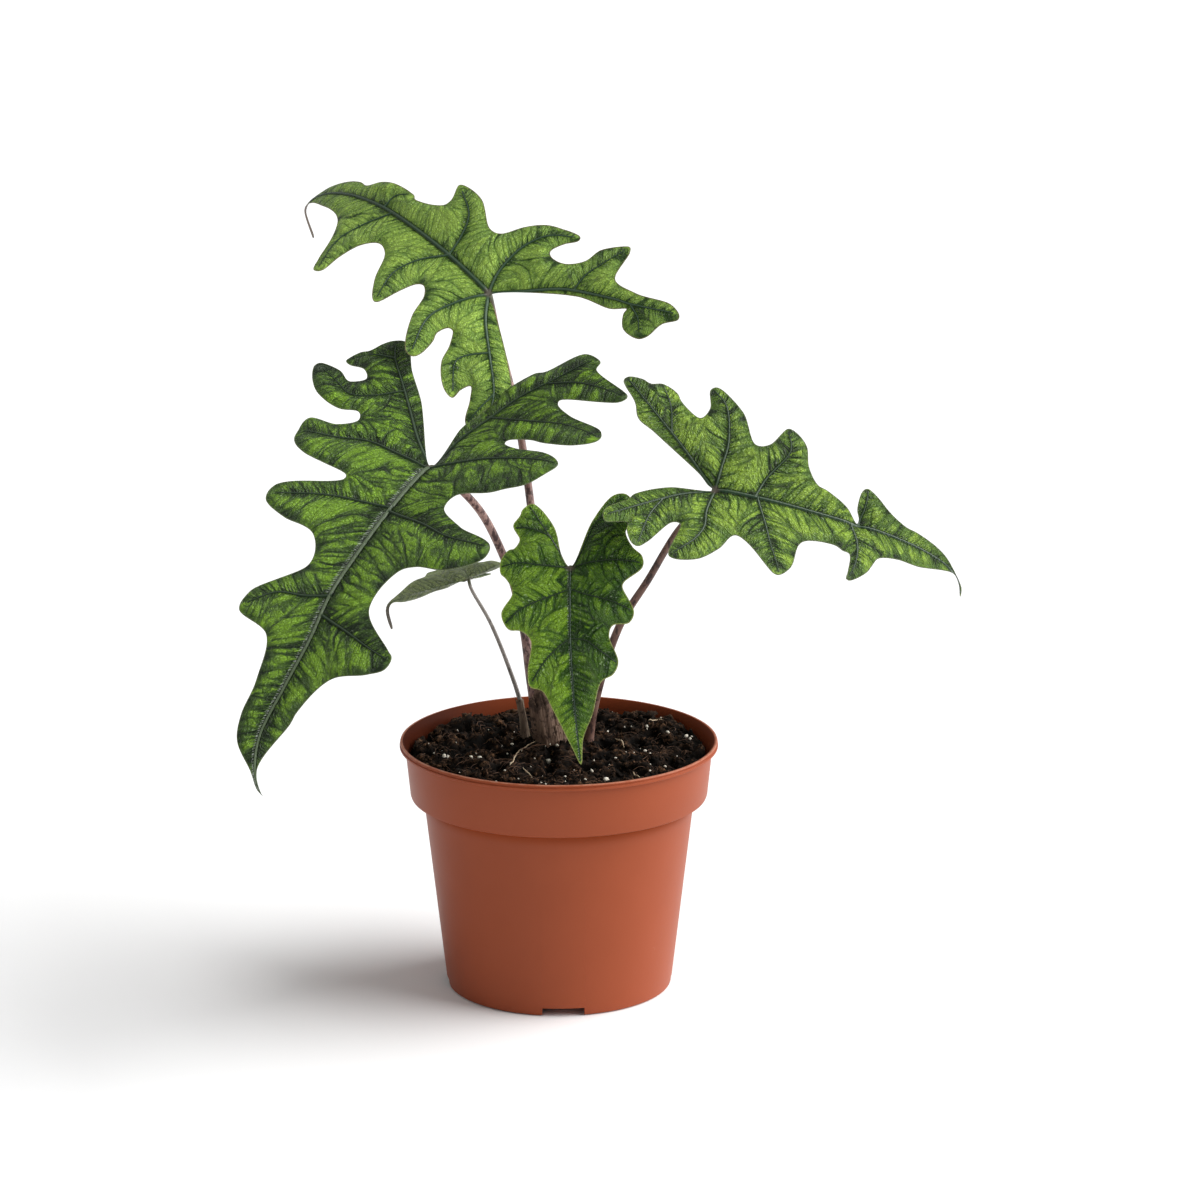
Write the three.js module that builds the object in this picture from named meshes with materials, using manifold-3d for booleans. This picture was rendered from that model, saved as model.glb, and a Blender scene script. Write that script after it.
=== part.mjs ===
// Potted jacklyn alocasia: a young aroid with lobed, net-veined blades in a plain 12 cm nursery pot.
// Millimetres, +Z up. The origin is the middle of the pot's underside and the plant is looked at from -Y.

import * as THREE from 'three';
import { mergeVertices } from 'three/addons/utils/BufferGeometryUtils.js';
import Module from 'manifold-3d';

const wasm = await Module();
wasm.setup();

// Clearance kept between two pieces that touch.
const GAP = 0.3;

// Pot: a thin-walled nursery pot with a deep collar under its rolled lip.
const RIM_RADIUS = 60;
const POT_HEIGHT = 96.5;
const POT_WALL = 1.5;
const BASE_RADIUS = 42.8;
const SHOULDER_RADIUS = 50.7;
const SHOULDER_HEIGHT = 69.6;
const COLLAR_FOOT_RADIUS = 56;
const COLLAR_FOOT_HEIGHT = 76.7;
const COLLAR_TOP_RADIUS = 57.9;
const LIP_HEIGHT = 2.6;
const FLOOR_HEIGHT = 3.3;
const PAD_RADIUS = 12;
const POT_SEGMENTS = 48;
const NOTCH_WIDTH = 15.8;
const NOTCH_TURN = 2.5;
const DRAIN_RADIUS = 3;
const DRAIN_CIRCLE = 28;
const DRAIN_COUNT = 8;

// Soil: a little below the lip, heaped towards the stem.
const SOIL_LEVEL = 90;
const SOIL_HEAP = 1.6;
const SOIL_RINGS = 11;
const SOIL_SEGMENTS = 40;

// Blades: thin sheets with ribs under their veins.
const BLADE_THICKNESS = 0.76;
const MIDRIB_DEPTH = 1.0;
const VEIN_DEPTH = 0.5;
const QUILT_HEIGHT = 1.0;
const QUILT_WIDTH = 5;
const MARGIN_CURL = 1.1;
const MARGIN_WIDTH = 3;
const FOLD_WIDTH = 6;
const EDGE_STEP = 3.4;
const VEIN_STEP = 5;
const GRID_STEP = 7;

// No back lobe and no drip tip is longer than these.
const BACK_REACH = 80;
const DRIP_REACH = 30;

// Stem: the wrapped feet of the leaf stalks above a small corm, all in the soil's plain hole.
const STEM_X = -3;
const STEM_Y = 7;
const SOCKET_FLOOR = 50;

const COLOURS = {
  pot: 0xb4603f,
  soil: 0x2b211b,
  stem: 0x7b5f56,
  stalk: 0x7d5a55,
  blade: 0x4f7f35,
  underside: 0x7f9a78,
};

// Each leaf is drawn flat in millimetres: the stalk joins at 0,0, the midrib runs up +y, and the
// outline goes round the lobes and bays from the cleft between the two back lobes.
// heading, pitch and roll aim the midrib from the attachment. droop bends the front half down,
// lift bends the back lobes up, twist and backTwist turn the two halves about the midrib, and hook
// turns the drip tip down (degrees). length runs to where the drip tip starts, and the drip tip bends
// within hookSpan.
// fold is the slope of the V across the midrib, and cup lets the sides fall again.
const LEAVES = {
  left: {
    attach: [-46.2, -32, 209.8],
    heading: -120, pitch: -18, roll: 0, droop: 40, lift: 20, twist: 9, backTwist: 0, hook: 0,
    length: 155, hookSpan: 1, fold: 0.21, cup: 0.12,
    outline: [
      [0, 0], [23, -34], [34, -48], [43.5, -62], [49, -61], [55, -53.5], [58, -51.5],
      [61, -45.5], [58, -43.5], [51.5, -42.5], [48, -37.5], [53.5, -34.5], [60, -39],
      [69.5, -41], [71, -38.5], [62, -24], [48.5, -17.5], [41, -18.5], [38, -13], [44, -8],
      [55.5, -7.5], [53.5, 7], [45.5, 13.5], [24.5, 19], [24, 21.5], [45, 34], [44.5, 42],
      [33.5, 48], [20, 51.5], [15, 65], [29.5, 82.5], [30, 90.5], [16.5, 97], [12.5, 115],
      [13, 129], [11, 138.5], [3.5, 147.5], [-1, 153.5], [-5.5, 156], [-3, 154.5],
      [1.5, 146], [-5.5, 128], [-6.5, 123], [-14.5, 109], [-28, 105.5], [-34.5, 102],
      [-35, 97], [-32.5, 94.5], [-17, 78.5], [-20.5, 61], [-26.5, 58.5], [-39.5, 59],
      [-50, 54.5], [-52.5, 51], [-51, 45], [-34.5, 37.5], [-22, 27.5], [-23, 21],
      [-36.5, 18.5], [-41.5, 16], [-50.5, 12.5], [-55.5, 2], [-53.5, -2.5], [-45.5, -7.5],
      [-30.5, -11], [-24, -14.5], [-24, -16.5], [-34, -16.5], [-42, -14], [-55.5, -12.5],
      [-63, -16.5], [-61, -23], [-42.5, -32.5], [-34, -39], [-33.5, -41.5], [-59, -41.5],
      [-61, -43.5], [-60.5, -46], [-40, -60], [-39.5, -64.5], [-30, -69], [-17, -59.5],
      [-13, -58.5], [-5, -48], [-5, -44.5], [1, -24.5],
    ],
    midrib: [[0, 0], [0.5, 50], [1.5, 75], [0.5, 95], [2, 115], [4, 135], [1.5, 148], [-4.5, 156]],
    veins: [
      [[0, 0], [12, -12], [23, -26], [33, -39], [43, -52], [46, -58]],
      [[43, -52], [53, -51], [59, -47]],
      [[31, -36], [41, -29], [49, -27], [57, -32], [67, -38]],
      [[0, 2], [15, -1], [28, -3], [40, 0], [53, 1]],
      [[0, 29], [12, 30], [25, 32], [42, 38]],
      [[1, 75], [10, 78], [20, 80], [28, 87]],
      [[0, 0], [-2, -17], [-8, -32], [-14, -44], [-24, -54], [-35, -65]],
      [[-23, -52], [-37, -52], [-58, -46]],
      [[-6, -32], [-26, -29], [-45, -26], [-60, -20]],
      [[0, 2], [-20, -3], [-37, -3], [-53, -1]],
      [[0, 31], [-18, 37], [-32, 43], [-49, 46]],
      [[0, 84], [-12, 89], [-25, 95], [-33, 98]],
    ],
  },
  top: {
    attach: [-26.7, 42, 258.7],
    heading: 134, pitch: 26, roll: 34, droop: 44, lift: 0, twist: 11, backTwist: 16, hook: 60,
    length: 138, hookSpan: 14, fold: 0.18, cup: 0.13,
    outline: [
      [0, -1], [-3, -7.5], [-28.5, -49.5], [-40.5, -50.5], [-44, -45], [-43, -40],
      [-36, -34.5], [-32, -30], [-35.5, -28.5], [-40, -29], [-40, -24], [-33.5, -14.5],
      [-26.5, -10.5], [-21.5, -6], [-22, -4], [-26.5, -3], [-30, -5], [-37, -6.5],
      [-40, -5.5], [-40.5, -2], [-28.5, 10], [-18.5, 15.5], [-15.5, 20.5], [-17, 23],
      [-33, 27], [-33, 29.5], [-26.5, 37.5], [-14.5, 48], [-12.5, 55.5], [-17.5, 61.5],
      [-26.5, 64], [-35, 64], [-36.5, 68], [-31.5, 72.5], [-16, 84.5], [-10, 95.5],
      [-7, 118], [-6, 126], [-5.4, 134], [-6, 141], [-7.2, 147], [-8.6, 160.5], [-8, 160.5],
      [-5.4, 147], [-2.6, 142], [0.2, 137], [3.4, 130],
      [7, 114], [8, 103.5], [7.5, 97.5], [11, 88.5], [13, 75], [12.5, 65.5], [11, 62],
      [15.5, 47.5], [18.5, 47], [25.5, 50], [26, 36], [19, 22], [20, 17], [28, 11.5],
      [35.5, 4], [39.5, -8.5], [38, -9.5], [33, -6], [27.5, -5], [26, -7.5], [27.5, -14],
      [33.5, -19.5], [40.5, -21], [48.5, -29], [47, -31], [35.5, -36], [36.5, -47.5],
      [42, -63.5], [41, -70], [39.5, -71], [34.5, -67], [27.5, -65.5], [24.5, -63],
      [23.5, -55], [28, -50], [30, -49.5], [26, -44], [21, -28],
    ],
    midrib: [[0, 0], [1, 25], [1.5, 50], [2, 74], [1, 105], [-1, 126], [-3, 136], [-6, 144], [-8, 158]],
    veins: [
      [[0, 0], [8, -8], [20, -22], [29, -41], [34, -54], [40, -67]],
      [[22, -26], [30, -25], [38, -27], [46, -29]],
      [[32, -50], [30, -57], [27, -61]],
      [[0, 0], [9, 4], [22, 5], [32, 1], [38, -7]],
      [[1, 26], [10, 29], [18, 34], [24, 46]],
      [[2, 74], [8, 74], [12, 69]],
      [[0, 0], [-9, -10], [-18, -24], [-28, -39], [-38, -47]],
      [[-18, -23], [-24, -19], [-29, -18], [-38, -27]],
      [[-28, -39], [-36, -40], [-42, -41]],
      [[-1, 0], [-12, 4], [-24, 5], [-38, -3]],
      [[1, 26], [-8, 33], [-18, 35], [-31, 29]],
      [[2, 67], [-8, 73], [-20, 75], [-34, 67]],
    ],
  },
  right: {
    attach: [58.1, -8, 194.5],
    heading: -2, pitch: -10, roll: -44, droop: 30, lift: 20, twist: -3, backTwist: 0, hook: 0,
    length: 102, hookSpan: 1, fold: 0.26, cup: 0.09,
    outline: [
      [0, -0.5], [-2, -3], [-5.5, -6.5], [-17, -26], [-20.5, -33.5], [-26.5, -36],
      [-33.5, -42], [-35.5, -40.5], [-36, -35], [-35, -31.5], [-36.5, -26.5], [-34, -20.5],
      [-31, -18], [-26.5, -10], [-31, -7], [-38.5, -8], [-40, -5.5], [-32, 5.5], [-20.5, 12],
      [-21.5, 17], [-29.5, 22.5], [-29.5, 24.5], [-24.5, 30.5], [-16.5, 33], [-11, 37.5],
      [-10, 41.5], [-6, 50.5], [-1.5, 55.5], [-3.5, 56], [-7, 54.5], [-14.5, 55], [-16, 57],
      [-10, 66.5], [-7, 75], [-6.5, 80], [-2, 95.5], [6.5, 103], [11, 102.5], [6, 102],
      [2.5, 100], [2, 98], [7, 83], [8, 74], [10.5, 66.5], [12, 64.5], [20, 60.5], [26, 54],
      [25.5, 53], [21.5, 53.5], [13.5, 53.5], [13.5, 50.5], [12.5, 47.5], [14.5, 36],
      [17.5, 33.5], [28.5, 31.5], [33.5, 27.5], [33.5, 25.5], [20, 10], [28.5, 4.5],
      [35, -2.5], [36, -13.5], [20, -11], [20, -14], [32, -22.5], [35, -26], [34, -28.5],
      [28.5, -31], [25.5, -31], [27.5, -39.5], [25.5, -40.5], [21.5, -40], [13.5, -31.5],
      [10.5, -29.5], [3, -16.5],
    ],
    midrib: [[0, 0], [0, 15], [0, 44], [-1, 68], [-0.5, 86], [1.5, 98], [4, 101], [9, 102.5]],
    veins: [
      [[0, 0], [4, -10], [11, -21], [24, -39]],
      [[10, -19], [19, -23], [33, -26]],
      [[0, 0], [11, -2], [19, -2], [26, -5], [34, -12]],
      [[0, 16], [11, 20], [21, 23], [32, 27]],
      [[0, 53], [8, 56], [17, 56], [24, 54]],
      [[0, 0], [-8, -8], [-16, -17], [-27, -31], [-34, -40]],
      [[-19, -20], [-28, -22], [-35, -26]],
      [[0, 0], [-9, 1], [-19, 2], [-33, -1], [-38, -6]],
      [[0, 15], [-8, 18], [-21, 25], [-28, 23]],
      [[-1, 56], [-8, 57], [-15, 57]],
    ],
  },
  front: {
    attach: [4.5, -28, 169.9],
    heading: -89, pitch: -50, roll: -8, droop: 27, lift: -12, twist: -2, backTwist: 0, hook: 0,
    length: 75, hookSpan: 1, fold: 0.19, cup: 0.13,
    outline: [
      [0, -0.5], [3, -5], [6, -17.5], [14, -27.5], [17.5, -25], [18.5, -22], [21, -18],
      [18.5, -11.5], [20.5, -8], [22.5, -7.5], [25.5, -3.5], [25.5, 2], [24, 3.5], [21.5, 8],
      [21.5, 10.5], [25.5, 17.5], [23, 23.5], [18.5, 24.5], [15, 28], [16.5, 39.5], [16, 45],
      [11.5, 47], [8, 54], [2, 68], [-1, 74.5], [-2.5, 65], [-6.5, 56.5], [-10.5, 45],
      [-15, 42.5], [-17, 38], [-14, 28], [-15.5, 24.5], [-21.5, 24], [-23.5, 20],
      [-19.5, 10], [-20, 8.5], [-27, 3], [-27, -1.5], [-23.5, -5.5], [-21, -12.5],
      [-24.5, -17], [-25.5, -20], [-21, -28.5], [-16.5, -28.5], [-8.5, -19],
    ],
    midrib: [[0, 0], [0.3, 15], [0.5, 30], [0, 50], [-0.5, 64], [-0.8, 73]],
    veins: [
      [[0, 0], [4, -7], [8, -14], [15, -26]],
      [[7, -13], [14, -16], [20, -17]],
      [[0, 0], [11, -1], [18, -2], [25, -1]],
      [[0, 9], [6, 11], [18, 16], [24, 21]],
      [[0.5, 28], [5, 31], [10, 36], [15, 43]],
      [[0, 0], [-4, -6], [-8, -15], [-14, -22], [-20, -27]],
      [[-13, -20], [-18, -19.5], [-24, -20]],
      [[0, 0], [-7, -1], [-15, -1], [-26, 1]],
      [[0, 9], [-7, 12], [-15, 15], [-22, 19]],
      [[0.5, 28], [-5, 29], [-10, 33], [-16, 38]],
    ],
  },
  small: {
    attach: [-34.4, 20.5, 153.7],
    heading: 173.5, pitch: -17, roll: -22, droop: 8.5, lift: -18, twist: -17, backTwist: 0, hook: 62,
    length: 28.5, hookSpan: 6, fold: 0.52, cup: 0.26,
    outline: [
      [0, -0.5], [1.8, -3.5], [4, -6], [6.5, -7.5], [8.5, -6.5], [9, -4.5], [10.6, -2],
      [11, 1.5], [8.8, 4.5], [9.2, 8.5], [8.8, 12], [6.6, 14], [5.7, 20], [1.5, 26.5],
      [-2, 30], [-2, 34.5], [0.9, 40.6], [0.3, 40.9], [-3.4, 35], [-3.8, 30], [-5.4, 26],
      [-8.1, 20], [-9.3, 14.5], [-12.4, 12], [-13, 8.5], [-12.4, 4.8], [-15.5, 1.5],
      [-14.9, -3.4], [-13, -8], [-14.3, -13], [-11.2, -16.2], [-6.2, -12.3], [-2.5, -5.6],
    ],
    midrib: [[0, 0], [-0.5, 14], [-2.4, 26], [-2.8, 34], [0, 39.5]],
    veins: [
      [[0, 0], [3, -3], [6, -5.5]],
      [[0, 0], [5.5, -1], [10, 0]],
      [[0, 6], [4, 8], [8, 10.5]],
      [[0, 0], [-5, -7], [-11, -14]],
      [[0, 0], [-8, -1], [-14, 0]],
      [[0, 6], [-6, 8], [-11, 10]],
    ],
  },
};

// Leaf stalks: the middle of each from its foot up to near its blade, with the two end radii.
const STALKS = {
  top: {
    path: [[-5.4, 9.4, 121], [-6.8, 17, 145.3], [-11.1, 27, 183.2], [-16.2, 36, 214.3], [-23.6, 42, 244]],
    foot: 2.1, neck: 1.3,
  },
  left: {
    path: [[-10.6, 4.6, 122.4], [-15.9, 1, 152.6], [-21.7, -7, 171.7], [-28.9, -15, 188],
      [-38.7, -25.5, 201]],
    foot: 2.1, neck: 1.4,
  },
  right: {
    path: [[10.9, 11.4, 80.5], [11.1, 11.4, 91], [14.7, 10, 111.9], [23, 8, 137.9], [33.5, 4, 156.5],
      [45.3, 0, 177.5], [54, -3.6, 187]],
    foot: 2.2, neck: 1.2,
  },
  front: {
    path: [[-4.9, 3.9, 121], [-0.5, -3, 133], [3.5, -13.5, 148], [5, -21.5, 160.5]],
    foot: 1.9, neck: 1.2,
  },
  small: {
    path: [[-12.6, 14, 83], [-12.8, 14.1, 91], [-14.6, 15, 105], [-19.4, 17, 119.8], [-26.1, 18, 136.4]],
    foot: 1.5, neck: 0.65,
  },
};

// Wrapped stalk feet and corm, bottom to top: height, middle, half widths.
const STEM_SECTIONS = [
  { z: 51, x: STEM_X, y: STEM_Y, rx: 3.2, ry: 3.2 },
  { z: 55, x: STEM_X, y: STEM_Y, rx: 7.2, ry: 7.2 },
  { z: 63, x: STEM_X, y: STEM_Y, rx: 9, ry: 9 },
  { z: 71, x: STEM_X, y: STEM_Y, rx: 7.4, ry: 7.4 },
  { z: 77, x: STEM_X, y: STEM_Y, rx: 5.3, ry: 5.3 },
  { z: 91, x: STEM_X, y: STEM_Y, rx: 5.2, ry: 4.8 },
  { z: 98, x: STEM_X - 1.6, y: STEM_Y - 0.4, rx: 5.6, ry: 4.8 },
  { z: 108, x: STEM_X - 3.2, y: STEM_Y - 0.8, rx: 5, ry: 4.6 },
  { z: 120, x: STEM_X - 4.2, y: STEM_Y - 1.2, rx: 4.4, ry: 4.2 },
];
const STEM_SIDES = 18;
const SHEATH_STEPS = 3;
const SHEATH_LIFT = 0.09;

const radians = THREE.MathUtils.degToRad;

// A closed three.js geometry as a solid, turned the right way out.
function solid(geometry) {
  const bare = geometry.clone();
  bare.deleteAttribute('normal');
  bare.deleteAttribute('uv');
  const merged = mergeVertices(bare, 1e-4);
  const index = merged.index.array;
  const corners = [];
  for (let i = 0; i < index.length; i += 3) {
    const [a, b, c] = [index[i], index[i + 1], index[i + 2]];
    if (a !== b && b !== c && c !== a) corners.push(a, b, c);
  }
  const vertProperties = new Float32Array(merged.attributes.position.array);
  const make = (list) => new wasm.Manifold(new wasm.Mesh({
    numProp: 3,
    vertProperties,
    triVerts: new Uint32Array(list),
  }));
  const shape = make(corners);
  if (shape.volume() > 0) return shape;
  const flipped = [];
  for (let i = 0; i < corners.length; i += 3) flipped.push(corners[i], corners[i + 2], corners[i + 1]);
  return make(flipped);
}

// A solid as a three.js geometry again.
function geometryOf(shape) {
  const mesh = shape.getMesh();
  const geometry = new THREE.BufferGeometry();
  geometry.setAttribute('position', new THREE.BufferAttribute(new Float32Array(mesh.vertProperties), 3));
  geometry.setIndex(Array.from(mesh.triVerts));
  geometry.computeVertexNormals();
  return geometry;
}

// Turns a profile of [radius, height] about the Z axis.
function turned(profile, segments) {
  const points = profile.map(([radius, height]) => new THREE.Vector2(radius, height));
  return new THREE.LatheGeometry(points, segments).rotateX(Math.PI / 2);
}

// Joins rings of equal count into one closed skin, with a middle point at each end.
function skin(rings) {
  const sides = rings[0].length;
  const positions = [];
  const index = [];
  for (const ring of rings) for (const point of ring) positions.push(point.x, point.y, point.z);
  for (let r = 0; r + 1 < rings.length; r++) {
    for (let i = 0; i < sides; i++) {
      const a = r * sides + i;
      const b = r * sides + (i + 1) % sides;
      index.push(a, b, a + sides, b, b + sides, a + sides);
    }
  }
  for (const [ring, offset, turn] of [[rings[0], 0, 1], [rings.at(-1), (rings.length - 1) * sides, 0]]) {
    const middle = ring.reduce((sum, point) => sum.add(point), new THREE.Vector3()).divideScalar(sides);
    const centre = positions.length / 3;
    positions.push(middle.x, middle.y, middle.z);
    for (let i = 0; i < sides; i++) {
      const a = offset + i;
      const b = offset + (i + 1) % sides;
      index.push(...(turn ? [b, a, centre] : [a, b, centre]));
    }
  }
  const geometry = new THREE.BufferGeometry();
  geometry.setAttribute('position', new THREE.Float32BufferAttribute(positions, 3));
  geometry.setIndex(index);
  return geometry;
}

// Smooth closed curve through flat points, stepped evenly.
function closedOutline(points, step) {
  const curve = new THREE.CatmullRomCurve3(
    points.map(([x, y]) => new THREE.Vector3(x, y, 0)), true, 'centripetal');
  const edge = [];
  points.forEach((point, i) => {
    const next = points[(i + 1) % points.length];
    const span = Math.hypot(next[0] - point[0], next[1] - point[1]);
    const count = Math.max(1, Math.round(span / step));
    for (let k = 0; k < count; k++) {
      const at = curve.getPoint((i + k / count) / points.length);
      edge.push([at.x, at.y]);
    }
  });
  return edge;
}

// Points along an open flat polyline, a step apart.
function stepped(line, step) {
  const points = [];
  for (let i = 0; i + 1 < line.length; i++) {
    const [ax, ay] = line[i];
    const [bx, by] = line[i + 1];
    const count = Math.max(1, Math.round(Math.hypot(bx - ax, by - ay) / step));
    for (let k = 0; k < count; k++) points.push([ax + (bx - ax) * k / count, ay + (by - ay) * k / count]);
  }
  points.push(line.at(-1));
  return points;
}

function distanceToLine([x, y], line) {
  let best = Infinity;
  for (let i = 0; i + 1 < line.length; i++) {
    const [ax, ay] = line[i];
    const [dx, dy] = [line[i + 1][0] - ax, line[i + 1][1] - ay];
    const t = THREE.MathUtils.clamp(((x - ax) * dx + (y - ay) * dy) / (dx * dx + dy * dy || 1), 0, 1);
    best = Math.min(best, Math.hypot(x - ax - t * dx, y - ay - t * dy));
  }
  return best;
}

function isInside([x, y], loop) {
  let inside = false;
  for (let i = 0, j = loop.length - 1; i < loop.length; j = i++) {
    const [ax, ay] = loop[i];
    const [bx, by] = loop[j];
    if ((ay > y) !== (by > y) && x < (bx - ax) * (y - ay) / (by - ay) + ax) inside = !inside;
  }
  return inside;
}

// Delaunay triangles of flat points, point by point.
function triangulate(points) {
  const far = 1e4;
  const all = [...points, [-far, -far], [far, -far], [0, far]];
  const circled = (corners) => {
    const [[ax, ay], [bx, by], [cx, cy]] = corners.map((i) => all[i]);
    const d = 2 * (ax * (by - cy) + bx * (cy - ay) + cx * (ay - by));
    const [a2, b2, c2] = [ax * ax + ay * ay, bx * bx + by * by, cx * cx + cy * cy];
    const x = (a2 * (by - cy) + b2 * (cy - ay) + c2 * (ay - by)) / d;
    const y = (a2 * (cx - bx) + b2 * (ax - cx) + c2 * (bx - ax)) / d;
    return { corners, x, y, reach: (ax - x) ** 2 + (ay - y) ** 2 };
  };
  const count = points.length;
  let triangles = [circled([count, count + 1, count + 2])];
  points.forEach(([x, y], i) => {
    const rim = new Map();
    const kept = [];
    for (const triangle of triangles) {
      if ((x - triangle.x) ** 2 + (y - triangle.y) ** 2 >= triangle.reach) {
        kept.push(triangle);
        continue;
      }
      const [a, b, c] = triangle.corners;
      for (const [from, to] of [[a, b], [b, c], [c, a]]) {
        if (!rim.delete(`${to},${from}`)) rim.set(`${from},${to}`, [from, to]);
      }
    }
    triangles = kept.concat([...rim.values()].map(([from, to]) => circled([from, to, i])));
  });
  return triangles.map((triangle) => triangle.corners).filter((corners) => Math.max(...corners) < count);
}

// The midrib as seen from its side: reach, rise and slope, tabulated each millimetre.
function midribBend(leaf) {
  const slopeAt = (s) => {
    if (s < 0) return -radians(leaf.lift) * -s / (0.6 * leaf.length);
    const hooked = THREE.MathUtils.smoothstep(s, leaf.length, leaf.length + leaf.hookSpan);
    return -radians(leaf.droop) * s / leaf.length - radians(leaf.hook) * hooked;
  };
  const table = new Map([[0, { reach: 0, rise: 0, slope: 0 }]]);
  for (const way of [1, -1]) {
    let { reach, rise } = table.get(0);
    const end = way > 0 ? Math.ceil(leaf.length) + DRIP_REACH : BACK_REACH;
    for (let i = 1; i <= end; i++) {
      const slope = slopeAt(way * (i - 0.5));
      reach += way * Math.cos(slope);
      rise += way * Math.sin(slope);
      table.set(way * i, { reach, rise, slope: slopeAt(way * i) });
    }
  }
  return (s) => {
    const low = Math.floor(s);
    const [a, b] = [table.get(low), table.get(low + 1)];
    const mix = (key) => THREE.MathUtils.lerp(a[key], b[key], s - low);
    return { reach: mix('reach'), rise: mix('rise'), slope: mix('slope') };
  };
}

// Axes at the attachment: across the blade, along the midrib and out of the upper face.
function bladeAxes(leaf) {
  const [heading, pitch, roll] = [leaf.heading, leaf.pitch, leaf.roll].map(radians);
  const along = new THREE.Vector3(
    Math.cos(heading) * Math.cos(pitch), Math.sin(heading) * Math.cos(pitch), Math.sin(pitch));
  const level = new THREE.Vector3(Math.sin(heading), -Math.cos(heading), 0);
  const up = new THREE.Vector3().crossVectors(level, along);
  const across = level.clone().multiplyScalar(Math.cos(roll)).addScaledVector(up, Math.sin(roll));
  return { across, along, out: new THREE.Vector3().crossVectors(across, along) };
}

// Carries a flat point with a height over the midrib into its place on the plant.
function bladePlacer(leaf) {
  const axes = bladeAxes(leaf);
  const bend = midribBend(leaf);
  const origin = new THREE.Vector3(...leaf.attach);
  return ([x, y], height) => {
    const { reach, rise, slope } = bend(y);
    const turn = radians(y > 0 ? leaf.twist * y / leaf.length : -leaf.backTwist * y / (0.6 * leaf.length));
    const side = x * Math.cos(turn) - height * Math.sin(turn);
    const over = x * Math.sin(turn) + height * Math.cos(turn);
    return origin.clone()
      .addScaledVector(axes.across, side)
      .addScaledVector(axes.along, reach - over * Math.sin(slope))
      .addScaledVector(axes.out, rise + over * Math.cos(slope));
  };
}

// A thin blade: quilted between its veins, curled at its margin, ribbed underneath.
function bladeGeometry(leaf) {
  const edge = closedOutline(leaf.outline, EDGE_STEP);
  const veinLines = [leaf.midrib, ...leaf.veins];
  const points = [...edge];
  const add = (point, clearance) => {
    if (!isInside(point, edge)) return;
    if (points.every(([x, y]) => Math.hypot(x - point[0], y - point[1]) > clearance)) points.push(point);
  };
  for (const line of veinLines) for (const point of stepped(line, VEIN_STEP)) add(point, EDGE_STEP * 0.6);
  const rowStep = GRID_STEP * Math.sqrt(3) / 2;
  for (let row = -Math.floor(BACK_REACH / rowStep); row * rowStep < leaf.length; row++) {
    for (let column = -12; column <= 12; column++) {
      add([(column + (row % 2) / 2) * GRID_STEP + 0.3, row * rowStep + 0.2], GRID_STEP * 0.62);
    }
  }
  const middleOf = ([a, b, c]) => [0, 1].map((k) => (points[a][k] + points[b][k] + points[c][k]) / 3);
  const faces = triangulate(points).filter((corners) => isInside(middleOf(corners), edge));

  const place = bladePlacer(leaf);
  const rim = [...edge, edge[0]];
  const [tops, bottoms] = [[], []];
  for (const point of points) {
    const [x, y] = point;
    const toMidrib = distanceToLine(point, leaf.midrib);
    const toVein = Math.min(toMidrib, ...leaf.veins.map((line) => distanceToLine(point, line)));
    const toEdge = distanceToLine(point, rim);
    const fold = leaf.fold * (Math.hypot(x, FOLD_WIDTH) - FOLD_WIDTH) - leaf.cup * x * x / leaf.length;
    const quilt = QUILT_HEIGHT * (1 - Math.exp(-((toVein / QUILT_WIDTH) ** 2)));
    const curl = MARGIN_CURL * Math.exp(-((toEdge / MARGIN_WIDTH) ** 2));
    const height = fold + quilt - curl;
    const fade = THREE.MathUtils.clamp(1 - y / leaf.length, 0, 1) * Math.min(1, toEdge / MARGIN_WIDTH);
    const rib = (toMidrib < 0.5 ? MIDRIB_DEPTH : toVein < 0.5 ? VEIN_DEPTH : 0) * fade;
    tops.push(place(point, height + BLADE_THICKNESS / 2));
    bottoms.push(place(point, height - BLADE_THICKNESS / 2 - rib));
  }

  const index = [];
  const count = points.length;
  const border = new Map();
  for (const [a, b, c] of faces) {
    index.push(a, b, c, count + a, count + c, count + b);
    for (const [from, to] of [[a, b], [b, c], [c, a]]) {
      if (!border.delete(`${to},${from}`)) border.set(`${from},${to}`, [from, to]);
    }
  }
  for (const [from, to] of border.values()) index.push(to, from, count + from, to, count + from, count + to);
  const geometry = new THREE.BufferGeometry();
  const positions = [...tops, ...bottoms].flatMap((point) => point.toArray());
  geometry.setAttribute('position', new THREE.Float32BufferAttribute(positions, 3));
  geometry.setIndex(index);
  return geometryOf(solid(geometry));
}

// A tapering stalk along a smooth path, ending square under its blade's attachment.
function stalkGeometry(stalk, leaf) {
  const { out } = bladeAxes(leaf);
  const joint = new THREE.Vector3(...leaf.attach);
  const clearance = BLADE_THICKNESS / 2 + MIDRIB_DEPTH + GAP + 0.2;
  const path = stalk.path.map((point) => new THREE.Vector3(...point));
  for (const below of [clearance + 2.5, clearance]) path.push(joint.clone().addScaledVector(out, -below));
  const curve = new THREE.CatmullRomCurve3(path, false, 'centripetal');
  const steps = Math.round(curve.getLength() / 6);
  const frames = curve.computeFrenetFrames(steps, false);
  const rings = [];
  const sides = 9;
  for (let i = 0; i <= steps; i++) {
    const middle = curve.getPointAt(i / steps);
    const radius = THREE.MathUtils.lerp(stalk.foot, stalk.neck, Math.sqrt(i / steps));
    rings.push(Array.from({ length: sides }, (_, k) => {
      const angle = 2 * Math.PI * k / sides;
      return middle.clone()
        .addScaledVector(frames.normals[i], radius * Math.cos(angle))
        .addScaledVector(frames.binormals[i], radius * Math.sin(angle));
    }));
  }
  return geometryOf(solid(skin(rings)));
}

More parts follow.
